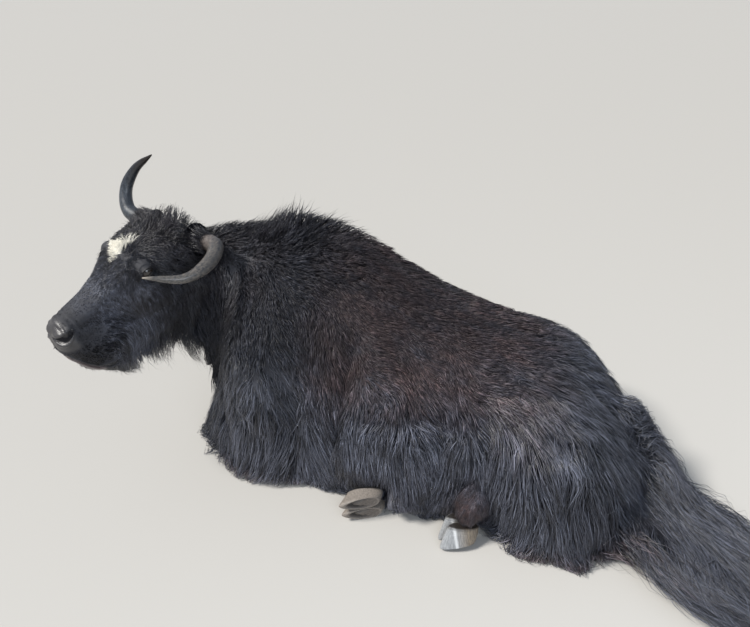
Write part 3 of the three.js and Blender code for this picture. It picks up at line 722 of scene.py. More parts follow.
NECK_COMB = [
    ((0, -0.55, 0.7), (-0.1, 0.9, 0.2), 0.07, 0.4),
    ((0.05, -0.66, 0.7), (-0.15, 0.85, 0.15), 0.06, 0.35),
    ((0.2, -0.62, 0.55), (0.1, 0.55, -0.85), 0.06, 0.18),
    ((0.22, -0.55, 0.4), (0.05, 0.15, -1), 0.085, 0.16),
    ((0.15, -0.68, 0.34), (0.05, 0.05, -1), 0.11, 0.2),
    ((0.05, -0.66, 0.26), (0, 0.05, -1), 0.12, 0.2),
    ((-0.18, -0.62, 0.55), (-0.25, 0.55, -0.8), 0.06, 0.18),
    ((-0.2, -0.6, 0.4), (-0.1, 0.1, -1), 0.085, 0.18),
    ((-0.03, -0.76, 0.45), (-0.1, 0.05, -1), 0.09, 0.2),
]

# Middle line of the tail in the pose frame, and the place from which its brush fans out
TAIL_PATH = np.array([
    (0.012, 0.584, 0.300), (0.020, 0.628, 0.236), (0.054, 0.668, 0.156), (0.132, 0.688, 0.092),
    (0.222, 0.722, 0.056), (0.316, 0.826, 0.040), (0.402, 0.940, 0.028), (0.464, 1.052, 0.014),
])
TAIL_HAIR = (0.07, 0.10, 0.16, 0.24, 0.28, 0.27, 0.20, 0.12)
TAIL_HUB = np.array([0.04, 0.56, 0.12])
TAIL_RAISED = 0.14
TAIL_FANNED = 1.3


def comb_rows(rows, mirrored):
    table = []
    for (x, y, z), (dx, dy, dz), length, raised in rows:
        for side in (1, -1) if mirrored else (1,):
            table.append((side * x, y, z, side * dx, dy, dz, length, raised))
    return np.array(table)


def combs():
    body = np.concatenate([comb_rows(COMB, True), comb_rows(NECK_COMB, False)])
    head = comb_rows(HEAD_COMB, True)
    tail_lies = unit(np.gradient(TAIL_PATH, axis=0))
    return {
        "body": (body[:, :3] + POSE_SHIFT, unit(body[:, 3:6]), body[:, 6], body[:, 7]),
        "head": (from_head(head[:, :3]), unit(head[:, 3:6]) @ HEAD_AXES, head[:, 6], head[:, 7]),
        "tail": (TAIL_PATH + POSE_SHIFT, tail_lies, np.array(TAIL_HAIR),
                 np.full(len(TAIL_PATH), TAIL_RAISED)),
    }


COMBS = combs()
COMB_BLUR = {"body": 0.05, "head": 0.016, "tail": 0.05}
COMB_BATCH = 20000


def combed(kind, points):
    places, lies, lengths, raised = COMBS[kind]
    blur = COMB_BLUR[kind] ** 2
    lie = np.empty_like(points)
    length = np.empty(len(points))
    lift = np.empty(len(points))
    for start in range(0, len(points), COMB_BATCH):
        part = slice(start, start + COMB_BATCH)
        gap = points[part, None, :] - places[None, :, :]
        weight = 1.0 / (np.sum(gap * gap, axis=2) + blur) ** 2
        weight /= weight.sum(axis=1, keepdims=True)
        lie[part] = weight @ lies
        length[part] = weight @ lengths
        lift[part] = weight @ raised
    lie = unit(lie)
    if kind == "tail":
        fan = unit((points - POSE_SHIFT - TAIL_HUB) * (1, 1, 0.3))
        lie = unit(lie + TAIL_FANNED * fan)
    return lie, length, lift


# Pieces of coat: comb, number of locks, rings and width of a lock; how far locks gather, wave, sway
# together and stray alone; the cell of their streaks; and the share of the comb's length they keep
Growth = namedtuple("Growth", "comb locks rings width clump wave sway loose streak trim",
                    defaults=(1.0,))
COAT = {
    "coat_face": Growth("head", 40000, 1, 0.0024, 0.42, 0.0002, 0.20, 0.16, 0.0055),
    "coat_cheeks": Growth("head", 8000, 3, 0.0022, 0.45, 0.0026, 0.16, 0.12, 0.006),
    "coat_beard": Growth("head", 4300, 4, 0.0023, 0.45, 0.0060, 0.16, 0.13, 0.007),
    "coat_crown": Growth("head", 6200, 4, 0.0022, 0.50, 0.0060, 0.44, 0.28, 0.007),
    "coat_neck": Growth("body", 5200, 3, 0.0034, 0.35, 0.0030, 0.18, 0.15, 0.009),
    "coat_chest": Growth("body", 6300, 4, 0.0029, 0.50, 0.0060, 0.17, 0.12, 0.010),
    "coat_back_left": Growth("body", 16000, 2, 0.0029, 0.28, 0.0030, 0.28, 0.21, 0.009),
    "coat_back_right": Growth("body", 5300, 2, 0.0052, 0.32, 0.0030, 0.28, 0.19, 0.009),
    "coat_skirt_left": Growth("body", 7000, 4, 0.0028, 0.52, 0.0060, 0.15, 0.11, 0.010),
    "coat_skirt_right": Growth("body", 2600, 3, 0.0052, 0.45, 0.0060, 0.15, 0.12, 0.010),
    "coat_thigh": Growth("body", 6200, 4, 0.0029, 0.52, 0.0070, 0.20, 0.13, 0.010),
    "coat_rump": Growth("body", 5000, 3, 0.0037, 0.52, 0.0070, 0.42, 0.20, 0.010),
    "coat_tail": Growth("tail", 5800, 4, 0.0028, 0.60, 0.0180, 0.40, 0.20, 0.012),
    "coat_feet": Growth("body", 4500, 1, 0.0018, 0.30, 0.0002, 0.10, 0.18, 0.005, 0.26),
}
SHORT_COAT = ("coat_back_left", "coat_back_right", "coat_neck", "coat_feet")


def region_names(points, node):
    place = to_pose(points)
    head = to_head(points)
    names = np.full(len(points), "coat_back_left", dtype=object)
    x, y, z = place.T
    right = x < 0
    names[right] = "coat_back_right"
    skirt = z < 0.30
    names[skirt & ~right] = "coat_skirt_left"
    names[skirt & right] = "coat_skirt_right"
    names[(y < -0.30) & (z < 0.46)] = "coat_chest"
    names[y > 0.36] = "coat_rump"
    names[(y > 0.19) & (x > 0.10) & (z < 0.40)] = "coat_thigh"
    names[node == "neck"] = "coat_neck"
    names[np.isin(node, [name for name in FLESH if name.startswith("tail")])] = "coat_tail"
    names[node == "foot_hind_left"] = "coat_feet"
    names[node == "foot_hind_right"] = "coat_skirt_left"
    on_head = np.isin(node, BARE_HEAD)
    _, hy, hz = head.T
    names[on_head] = "coat_cheeks"
    names[on_head & (hz > -0.10)] = "coat_crown"
    names[on_head & (hy > 0.155) & (hz > -0.12)] = "coat_face"
    names[on_head & (hy > 0.31)] = "coat_face"
    names[on_head & (hz < -0.195) & (hy < 0.37)] = "coat_beard"
    names[np.isin(node, EARS)] = "coat_crown"
    return names


def lip_share(head):
    """The bare lower lip and chin."""
    _, y, z = head.T
    line = np.interp(y, *MOUTH_LINE.T)
    return ramp(y, 0.385, 0.405) * ramp(z - line, -0.044, -0.032) * ramp(line - z, -0.004, 0.0)


def eye_share(head):
    eyes = np.zeros(len(head))
    for side in (-1, 1):
        o, u, v, _ = eye_frame(head, side)
        slit = np.hypot(u / 0.0205, (v - 0.001) / 0.0105)
        eyes = np.maximum(eyes, ramp(-slit, -1.15, -0.90) * (np.abs(o) < 0.03))
    return eyes


def bare_skin(points):
    head = to_head(points)
    _, y, z = head.T
    near_head = np.linalg.norm(head - np.array([0, 0.3, -0.1]), axis=1) < 0.32
    nose = ramp(y, 0.408, 0.424) * ramp(-z, 0.018, 0.03) * ramp(z, -0.114, -0.098)
    line = np.interp(y, *MOUTH_LINE.T)
    mouth = ramp(y, 0.39, 0.41) * ramp(-np.abs(z - line), -0.010, -0.005)
    return near_head * np.maximum.reduce([nose, mouth, lip_share(head), eye_share(head)])


class Skin:
    """The finished skin as arrays, with a search tree and what the coat asks of it."""

    def __init__(self, mesh, cad_tree, owner, shell):
        self.verts, self.tris = arrays_of(mesh)
        self.normals = vertex_normals(self.verts, self.tris)
        self.tree = tree_of(self.verts, self.tris)
        self.shell = shell
        centres = self.verts[self.tris].mean(axis=1)
        places, _, _ = nearest(shell, self.verts)
        height = np.linalg.norm(self.verts - places, axis=1)
        self.height = smoothed(height, edge_pairs(mesh), 3)
        _, _, hit = nearest(cad_tree, centres)
        self.node = np.array(FLESH, dtype=object)[owner[hit]]
        a, b, c = (self.verts[self.tris[:, k]] for k in range(3))
        cross = np.cross(b - a, c - a)
        self.area = np.linalg.norm(cross, axis=1) / 2
        self.facing = unit(cross)
        self.region = region_names(centres, self.node)
        under = (self.facing[:, 2] < -0.55) & (centres[:, 2] < 0.09)
        self.density = self.area * np.where(under, 0.08, 1.0) * (1 - bare_skin(centres))
        self.density *= ~((self.facing[:, 2] < -0.8) & (centres[:, 2] < 0.03))


def grow_roots(skin, faces, count):
    share = skin.density[faces]
    picked = random.choice(faces, count, p=share / share.sum())
    u, v = random.random((2, count))
    flip = u + v > 1
    u[flip], v[flip] = 1 - u[flip], 1 - v[flip]
    weights = np.stack([1 - u - v, u, v], axis=1)
    corners = skin.tris[picked]
    roots = np.einsum("nk,nkd->nd", weights, skin.verts[corners])
    normals = unit(np.einsum("nk,nkd->nd", weights, skin.normals[corners]))
    return picked, weights, roots, normals


def steered(directions, normals, lift):
    """Laid along the skin and raised a little; hair that hangs down keeps hanging free of it."""
    directions = unit(directions)
    outward = np.sum(directions * normals, axis=1)
    free = 0.25 + 0.75 * ramp(-directions[:, 2], 0.55, 0.9)
    kept = np.where(outward > 0, free * outward, 0.0)
    flat = directions + normals * (kept - outward)[:, None]
    raised = lift[:, None]
    return unit(unit(flat) * (1 - raised) + normals * raised)


# The coat counts as no deeper than this, in metres, for how high locks lie and for their room
DEEPEST_LAY, DEEPEST_ROOM = 0.030, 0.035
ROOT_SINK = 0.002
CREASE_SHARE = 0.8
FOLD_DEPTH = 0.020


def kept_out_of_skin(skin, point, lowest):
    """Points lifted to the lowest height allowed, the skin's facing there and the room above it."""
    places, facing, faces = nearest(skin.tree, point)
    gap = point - places
    height = np.sum(gap * facing, axis=1)
    height = np.where(height < 0, height, np.linalg.norm(gap, axis=1))
    around = skin.height[skin.tris[faces]].mean(axis=1)
    push = np.maximum(lowest * np.minimum(around, DEEPEST_LAY) - height, 0)
    return point + facing * push[:, None], facing, np.minimum(around, DEEPEST_ROOM)


def kept_in_shell(skin, point, room_wanted):
    places, facing, _ = nearest(skin.shell, point)
    room = -np.sum((point - places) * facing, axis=1)
    push = np.maximum(room_wanted - room, 0)
    return point - facing * push[:, None]


def comb_locks(skin, roots, normals, want, shape):
    """Curves of rings + 1 points, which follow the comb between the skin and the coat's outline."""
    count, rings, kind = len(roots), want.rings, want.comb
    lie, length, lift = combed(kind, roots)
    length = length * shape["long"] * want.trim
    fill, rise = shape["fill"], shape["rise"]
    low = ramp(-to_pose(roots)[:, 2], -0.50, -0.34)
    hanging = low if kind == "body" else np.zeros(count)
    hollow = CREASE_SHARE * creased(roots) + FOLD_DEPTH * hanging * folds(roots)
    hollow *= want.trim == 1
    own_way = want.loose * random.normal(size=lie.shape) + rise[:, None] * WISP_WAY
    curve = np.empty((count, rings + 1, 3))
    ups = np.empty((count, rings + 1, 3))
    curve[:, 0] = roots - normals * ROOT_SINK
    ups[:, 0] = normals
    first = lie + own_way + want.sway * drift(roots)
    heading = steered(first, normals, np.clip(lift + 0.14 + 0.3 * rise, 0, 0.95))
    for step in range(1, rings + 1):
        t = step / rings
        point = curve[:, step - 1] + heading * (length / rings)[:, None]
        point, facing, room = kept_out_of_skin(skin, point, 0.3 * fill * t)
        point = kept_in_shell(skin, point, (1 - fill) * 0.8 * room + hollow - shape["stray"] * t)
        point[:, 2] = np.maximum(point[:, 2], FLOOR_GAP + 0.004 * fill)
        curve[:, step] = point
        ups[:, step] = unit(facing + 0.5 * ups[:, step - 1])
        lie, _, lift = combed(kind, point)
        bent = lie + own_way * (1 - 0.5 * t) + want.sway * drift(point)
        raised = np.clip(lift * (1 - 0.6 * t * (1 - rise)) + 0.2 * rise, 0, 0.9)
        flat = steered(bent, facing, raised)
        heading = unit(0.45 * unit(point - curve[:, step - 1]) + 0.55 * flat)
    return curve, ups, streaks(roots, first, want.streak, 0.45 * length.mean())


# Hair from within reach of a horn's base runs out along it, over this length
SLEEVE_REACH = 0.058
SLEEVE_LONG = 0.078
SLEEVE_START = (-0.005, 0.010)
SLEEVE_OVER = (0.001, 0.013)


def sleeved(curve, roots):
    steps = curve.shape[1]
    for path in (LEFT_HORN, RIGHT_HORN):
        base = from_head(path[0])
        along = unit((np.array(path[1]) - np.array(path[0])) @ HEAD_AXES)
        gap = roots - base
        out = gap @ along
        radial = gap - out[:, None] * along
        close = (np.linalg.norm(radial, axis=1) < SLEEVE_REACH) & (np.abs(out) < 0.08)
        near = np.nonzero(close)[0]
        reach = random.uniform(0.35, 1.0, len(near)) * SLEEVE_LONG
        height = HORN_RADIUS[0][1] + random.uniform(*SLEEVE_OVER, len(near))
        lean = 0.25 * random.normal(size=(len(near), 3))
        turned = unit(unit(radial[near]) + lean)
        start = np.clip(out[near], *SLEEVE_START)
        for k in range(1, steps):
            t = k / (steps - 1)
            goal = base + along * (start + t * reach)[:, None]
            goal += turned * (height * (1 - 0.12 * t))[:, None]
            curve[near, k] = curve[near, 0] + (goal - curve[near, 0]) * min(1.0, 1.6 * t)
    return curve


def gathered(curve, roots, clump, per_clump, reach):
    """Locks lean towards the nearest leading lock, most at their tips."""
    count = len(roots)
    leaders = random.choice(count, max(1, count // per_clump), replace=False)
    tree = KDTree(len(leaders))
    for i, leader in enumerate(leaders):
        tree.insert(roots[leader].tolist(), i)
    tree.balance()
    lead = leaders[[tree.find(p)[1] for p in roots.tolist()]]
    steps = curve.shape[1] - 1
    pull = (np.arange(steps + 1) / steps) ** 1.2
    shift = curve[lead] - curve
    far = np.linalg.norm(shift[:, -1], axis=1)
    trust = ramp(-far, -reach, -reach / 3)
    amount = clump * pull[None, :, None] * trust[:, None, None]
    return curve + shift * amount, lead


def waved(curve, ups, size):
    steps = curve.shape[1] - 1
    t = np.arange(steps + 1) / steps
    along = unit(curve[:, -1] - curve[:, 0])
    across = unit(np.cross(along, ups[:, 0]))
    phase = random.random((len(curve), 1)) * 2 * math.pi
    turns = random.uniform(0.5, 1.3, (len(curve), 1))
    swing = np.sin(phase + turns * t[None, :] * 2 * math.pi) - np.sin(phase)
    return curve + across[:, None, :] * (swing * t * size)[:, :, None]


# How far a lock is turned about its own length, its root's and ridge's size, half its baking patch
LOCK_ROLL = 0.7
LOCK_ROOT = 0.75
LOCK_RIDGE = 0.55
HALF_PATCH = 0.0015


def lock_mesh(name, curve, ups, width, uv_centre, mark, tone_with_sheen):
    """Each lock is a thin three-sided solid that tapers to a point."""
    count, points, _ = curve.shape
    rings = points - 1
    tangent = unit(np.gradient(curve, axis=1))
    side = unit(np.cross(tangent, ups))
    roll = random.uniform(-LOCK_ROLL, LOCK_ROLL, (count, 1, 1))
    over = np.cross(side, tangent)
    cos, sin = np.cos(roll), np.sin(roll)
    side, over = side * cos + over * sin, over * cos - side * sin
    t = np.arange(rings) / rings
    taper = (1 - t ** 1.6) * np.where(t == 0, LOCK_ROOT, 1.0)
    half = width[:, None] * taper[None, :] / 2
    ring = curve[:, :rings]
    left = ring - side[:, :rings] * half[:, :, None]
    right = ring + side[:, :rings] * half[:, :, None]
    ridge = ring + over[:, :rings] * (LOCK_RIDGE * half)[:, :, None]
    body = np.stack([left, ridge, right], axis=2).reshape(count, rings * 3, 3)
    verts = np.concatenate([body, curve[:, -1:]], axis=1)
    verts[:, :, 2] = np.maximum(verts[:, :, 2], FLOOR_GAP)
    per = rings * 3 + 1
    loops, sizes = lock_pattern(rings)
    all_loops = (loops[None, :] + per * np.arange(count)[:, None]).ravel()
    all_sizes = np.tile(sizes, count)
    mesh = bpy.data.meshes.new(name)
    mesh.vertices.add(count * per)
    mesh.vertices.foreach_set("co", verts.astype(np.float32).ravel())
    mesh.loops.add(len(all_loops))
    mesh.loops.foreach_set("vertex_index", all_loops.astype(np.int32))
    mesh.polygons.add(len(all_sizes))
    starts = np.concatenate([[0], np.cumsum(all_sizes)[:-1]])
    mesh.polygons.foreach_set("loop_start", starts.astype(np.int32))
    mesh.polygons.foreach_set("use_smooth", np.ones(len(all_sizes), bool))
    mesh.update(calc_edges=True)
    along = np.concatenate([np.repeat(t, 3), [1.0]])
    sideways = np.concatenate([np.tile([-1.0, 0.0, 1.0], rings), [0.0]])
    uv = np.empty((count, per, 2))
    uv[:, :, 0] = uv_centre[:, None, 0] + HALF_PATCH * sideways
    uv[:, :, 1] = uv_centre[:, None, 1] + HALF_PATCH * (2 * along - 1)
    layer = mesh.uv_layers.new(name="OFBake")
    layer.data.foreach_set("uv", uv.reshape(-1, 2)[all_loops].astype(np.float32).ravel())
    set_colour(mesh, "mark", np.repeat(mark, per, axis=0))
    strand = np.empty((count, per, 3))
    strand[:, :, 0] = tone_with_sheen[:, None, 0]
    strand[:, :, 1] = along
    strand[:, :, 2] = tone_with_sheen[:, None, 1]
    set_colour(mesh, "strand", strand.reshape(-1, 3))
    return mesh


def lock_pattern(rings):
    """Corners of a lock's faces in turn, and how many each face has."""
    loops, sizes = [0, 2, 1], [3]
    for a in range(0, 3 * (rings - 1), 3):
        for p, q in ((a, a + 1), (a + 1, a + 2), (a + 2, a)):
            loops += [p, q, q + 3, p + 3]
            sizes.append(4)
    a, tip = 3 * (rings - 1), 3 * rings
    for p, q in ((a, a + 1), (a + 1, a + 2), (a + 2, a)):
        loops += [p, q, tip]
        sizes.append(3)
    return np.array(loops), np.array(sizes)


def unwrap_region(skin_obj, faces_in):
    """Unwraps the chosen faces of the skin to fill a square, and gives the map's corners."""
    mesh = skin_obj.data
    layer = mesh.uv_layers.new(name="region")
    mesh.uv_layers.active = layer
    mesh.polygons.foreach_set("select", faces_in)
    bpy.context.view_layer.objects.active = skin_obj
    bpy.ops.object.mode_set(mode="EDIT")
    bpy.ops.uv.smart_project(angle_limit=math.radians(80), island_margin=0.002)
    bpy.ops.object.mode_set(mode="OBJECT")
    layer = mesh.uv_layers["region"]
    uv = np.empty(len(mesh.loops) * 2, np.float32)
    layer.data.foreach_get("uv", uv)
    mesh.uv_layers.remove(layer)
    return uv.reshape(-1, 2)


def triangle_loops(mesh):
    mesh.calc_loop_triangles()
    loops = np.empty(len(mesh.loop_triangles) * 3, np.int32)
    mesh.loop_triangles.foreach_get("loops", loops)
    faces = np.empty(len(mesh.loop_triangles), np.int32)
    mesh.loop_triangles.foreach_get("polygon_index", faces)
    return loops.reshape(-1, 3), faces


# Feet and hooves that show below the coat: a line along each, and how near long hair may come
CLEARINGS = [
    (((0.362, 0.206, 0.105), (0.385, 0.185, 0.060), (0.405, 0.150, 0.030)), 0.044),
    (((0.352, -0.040, 0.045), (0.408, -0.150, 0.045)), 0.040),
    (((-0.352, -0.260, 0.020), (-0.375, -0.110, 0.020)), 0.040),
]


def over_a_foot(curve):
    tips = to_pose(curve[:, 1:].reshape(-1, 3))
    covered = np.zeros(len(tips), bool)
    for line, reach in CLEARINGS:
        covered |= away_from_line(tips, line) < reach
    return covered.reshape(len(curve), -1).any(axis=1)


# Wisps stand up over the hump: the place and reach of most of them, how many, and their way
WISP_PLACE, WISP_REACH = (0.0, -0.36, 0.76), (0.13, 0.22, 0.12)
WISP_SHARE = 0.26
WISP_WAY = (0, 0.3, 1.2)
TIDY_STRAY = 0.001


def lock_shapes(roots, name):
    """Length, rise, fill of the coat's depth and how far each lock may leave its outline."""
    count = len(roots)
    often = 0.40 if name == "coat_beard" else 0.07
    loose = random.random(count) < often
    stray = np.where(loose, random.uniform(0.004, 0.026, count), TIDY_STRAY)
    wisp = blob(to_pose(roots), WISP_PLACE, WISP_REACH) * (random.random(count) < WISP_SHARE)
    stray = np.maximum(stray, wisp * random.uniform(0.015, 0.100, count))
    tall = wisp > 0.3
    return {
        "long": random.uniform(0.6, 1.15, count) + 8 * np.minimum(stray, 0.05) + 0.35 * tall,
        "rise": np.where(tall, wisp * random.uniform(0.2, 1.0, count), 0.0),
        "fill": random.uniform(0.2, 1.0, count) ** 0.6,
        "stray": stray,
    }


# Locks gather first in big tresses, then in small ones: locks in each and how far apart they may be
TRESS, TRESS_REACH = 70, 0.16
LOCKLET, LOCKLET_REACH = 8, 0.09


def make_coat(skin_obj, skin, look, short_look):
    loops, face_of = triangle_loops(skin_obj.data)
    thin = 1.0
    for name, want in COAT.items():
        tris = np.nonzero((skin.region == name) & (skin.density > 0))[0]
        picked, weights, roots, normals = grow_roots(skin, tris, int(want.locks * thin))
        chosen = np.zeros(len(skin_obj.data.polygons), bool)
        chosen[face_of[tris]] = True
        uv = unwrap_region(skin_obj, chosen)
        centre = np.clip(np.einsum("nk,nkd->nd", weights, uv[loops[picked]]), 0.002, 0.998)
        shape = lock_shapes(roots, name)
        curve, ups, streak = comb_locks(skin, roots, normals, want, shape)
        stray = shape["stray"]
        if name != "coat_feet":
            free = ~over_a_foot(curve)
            curve, ups, roots, centre = curve[free], ups[free], roots[free], centre[free]
            stray, streak = stray[free], streak[free]
        if name == "coat_crown":
            curve = sleeved(curve, roots)
        count = len(roots)
        curve, _ = gathered(curve, roots, 0.5 * want.clump, TRESS, TRESS_REACH)
        curve, lead = gathered(curve, roots, want.clump, LOCKLET, LOCKLET_REACH)
        curve = waved(curve, ups, want.wave * random.uniform(0.3, 1.3, (count, 1)))
        width = want.width * random.uniform(0.55, 1.35, count) / math.sqrt(thin)
        width *= np.where(stray > TIDY_STRAY, 0.6, 1.0)
        # Random tone and streaks of each lock, scaled by the painted sheen
        own, shared = random.random(count), 0.3 * random.random(count)[lead] + 0.7 * streak
        tone_with_sheen = np.clip(np.stack([own, shared], axis=1) * painted_sheen(roots)[:, None], 0, 1)
        mesh = lock_mesh(name, curve, ups, width, centre, markings(roots), tone_with_sheen)
        mesh.materials.append(short_look if name in SHORT_COAT else look)
        piece = link(bpy.data.objects.new(name, mesh))
        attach(piece, "root")


# Materials

class Look:
    """A material, with short ways to add nodes. Values are sockets, numbers or colours."""

    def __init__(self, name):
        self.material = bpy.data.materials.new(name)
        self.material.use_nodes = True
        self.nodes = self.material.node_tree.nodes
        self.links = self.material.node_tree.links
        self.inputs = self.nodes["Principled BSDF"].inputs

    def feed(self, socket, value):
        if isinstance(value, bpy.types.NodeSocket):
            self.links.new(value, socket)
        elif isinstance(value, tuple):
            socket.default_value = (*value, 1.0)
        else:
            socket.default_value = value

    def noise(self, scale, detail=4.0, at=None):
        made = self.nodes.new("ShaderNodeTexNoise")
        for name, value in (("Scale", scale), ("Detail", detail), ("Roughness", 0.6)):
            made.inputs[name].default_value = value
        if at is not None:
            self.links.new(at, made.inputs["Vector"])
        return made.outputs["Fac"]

    def mix(self, share, first, second):
        made = self.nodes.new("ShaderNodeMix")
        made.data_type = "RGBA"
        for index, value in ((0, share), (6, first), (7, second)):
            self.feed(made.inputs[index], value)
        return made.outputs[2]

    def maths(self, kind, first, second, clamp=False):
        made = self.nodes.new("ShaderNodeMath")
        made.operation = kind
        made.use_clamp = clamp
        self.feed(made.inputs[0], first)
        self.feed(made.inputs[1], second)
        return made.outputs[0]

    def times(self, first, second, clamp=False):
        return self.maths("MULTIPLY", first, second, clamp)

    def mapped(self, value, low, high, to_low=0.0, to_high=1.0):
        made = self.nodes.new("ShaderNodeMapRange")
        limits = {"From Min": low, "From Max": high, "To Min": to_low, "To Max": to_high}
        for socket, number in limits.items():
            made.inputs[socket].default_value = number
        self.links.new(value, made.inputs["Value"])
        return made.outputs[0]

    def attribute(self, name):
        made = self.nodes.new("ShaderNodeAttribute")
        made.attribute_name = name
        return made.outputs["Color"]

    def channels(self, name):
        split = self.nodes.new("ShaderNodeSeparateColor")
        self.links.new(self.attribute(name), split.inputs[0])
        return split.outputs

    def bump(self, height, distance, strength):
        made = self.nodes.new("ShaderNodeBump")
        made.inputs["Strength"].default_value = strength
        made.inputs["Distance"].default_value = distance
        self.links.new(height, made.inputs["Height"])
        self.links.new(made.outputs[0], self.inputs["Normal"])


BLACK_HAIR = (0.010, 0.010, 0.014)
# The pale end of the hair: grey hair and a painted bluish sheen, the sky's reflection, together
GREY_HAIR_AND_SHEEN = (0.215, 0.232, 0.300)
BROWN_HAIR = (0.180, 0.112, 0.108)
DUSTY_HAIR = (0.36, 0.39, 0.45)
WHITE_HAIR = (0.80, 0.77, 0.68)
# Painted shade: the near black that locks darken to at their roots, and that the skin under the
# coat is mixed towards
PAINTED_COAT_SHADE = (0.004, 0.004, 0.005)


def coat_colour(look, own_share, clump_share):
    brown, dust, white = look.channels("mark")
    own = look.maths("POWER", own_share, 3.0)
    shared = look.maths("POWER", clump_share, 2.6)
    # The shares arrive scaled by the painted sheen, so paleness here is random tone and painted
    # sheen together
    pale = look.maths("ADD", look.times(own, 0.40), look.times(shared, 0.70))
    base = look.mix(pale, BLACK_HAIR, GREY_HAIR_AND_SHEEN)
    patchy = look.mapped(look.noise(9.0), 0.32, 0.62, 0.30, 1.15)
    clumpy = look.mapped(clump_share, 0.0, 1.0, 0.55, 1.2)
    share = look.times(look.times(brown, patchy), clumpy, clamp=True)
    dull, bright = (tuple(k * c for c in BROWN_HAIR) for k in (0.35, 1.5))
    colour = look.mix(share, base, look.mix(own, dull, bright))
    colour = look.mix(look.times(dust, own_share), colour, DUSTY_HAIR)
    edge = look.maths("ADD", white, look.times(own_share, 0.35))
    marked = look.maths("GREATER_THAN", white, 0.02)
    return look.mix(look.times(look.mapped(edge, 0.55, 0.75), marked), colour, WHITE_HAIR)


def coat_material(name, roughness, shine):
    look = Look(name)
    strand, along, clump = look.channels("strand")
    colour = coat_colour(look, strand, clump)
    # Painted shade: each lock darkens towards its root, where the coat shades itself
    clear_of_root_shade = look.mapped(along, 0.0, 0.6, 0.35, 1.0)
    look.feed(look.inputs["Base Color"], look.mix(clear_of_root_shade, PAINTED_COAT_SHADE, colour))
    look.inputs["Roughness"].default_value = roughness
    look.inputs["Specular IOR Level"].default_value = shine
    return look.material


def skin_material():
    look = Look("yak_skin")
    bare, painted_sheen_level, lids = look.channels("bare")
    lips = look.channels("lip")[0]
    # The hair colour on the skin is paled by the painted sheen level
    fine = look.times(look.noise(260.0), painted_sheen_level)
    patches = look.times(look.noise(30.0), painted_sheen_level)
    # Painted shade: hair-covered skin is darkened 30 % towards the coat's shade colour, as it lies
    # in the coat's shade
    colour = look.mix(0.30, coat_colour(look, fine, patches), PAINTED_COAT_SHADE)
    mottled = look.noise(70.0, 6.0)
    hide = look.mix(mottled, (0.016, 0.015, 0.016), (0.064, 0.060, 0.063))
    lip_hide = look.mix(mottled, (0.055, 0.043, 0.044), (0.175, 0.140, 0.138))
    # Lids and eye slits painted near black: partly dark lid skin, partly painted shade of the eye's
    # hollow
    hide = look.mix(lids, look.mix(lips, hide, lip_hide), (0.007, 0.006, 0.007))
    look.feed(look.inputs["Base Color"], look.mix(bare, colour, hide))
    pebbles = look.nodes.new("ShaderNodeTexVoronoi")
    pebbles.inputs["Scale"].default_value = 420.0
    grain = look.maths("ADD", pebbles.outputs["Distance"], look.noise(300.0))
    look.bump(grain, 0.0012, 0.35)
    look.feed(look.inputs["Roughness"], look.mapped(bare, 0.0, 1.0, 0.75, 0.34))
    return look.material


def horn_material():
    """Flaky at the base, mottled, polished at the tip; the dark horn is blue-grey and black."""
    look = Look("yak_horn")
    along, dark, _ = look.channels("grow")
    blotch = look.mapped(look.noise(26.0, 6.0), 0.36, 0.64)
    streak = look.noise(110.0)
    flaky = look.mix(blotch, (0.050, 0.041, 0.038), (0.150, 0.122, 0.110))
    mottled = look.mix(blotch, (0.034, 0.036, 0.041), (0.135, 0.120, 0.106))
    pale = look.mix(look.mapped(along, 0.12, 0.36), flaky, mottled)
    blue = look.mix(blotch, (0.018, 0.022, 0.029), (0.060, 0.070, 0.084))
    black = look.mix(look.mapped(along, 0.50, 0.90), blue, (0.010, 0.007, 0.006))
    colour = look.mix(dark, pale, black)
    tip = look.times(look.mapped(along, 0.93, 1.0), look.maths("SUBTRACT", 1.0, dark))
    colour = look.mix(tip, colour, (0.33, 0.29, 0.245))
    flecks = look.mapped(streak, 0.50, 0.75, 0.0, 0.55)
    colour = look.mix(flecks, colour, (0.035, 0.032, 0.033))
    look.feed(look.inputs["Base Color"], colour)
    look.feed(look.inputs["Roughness"], look.mapped(along, 0.1, 0.6, 0.55, 0.24))
    look.bump(streak, 0.0010, 0.3)
    return look.material


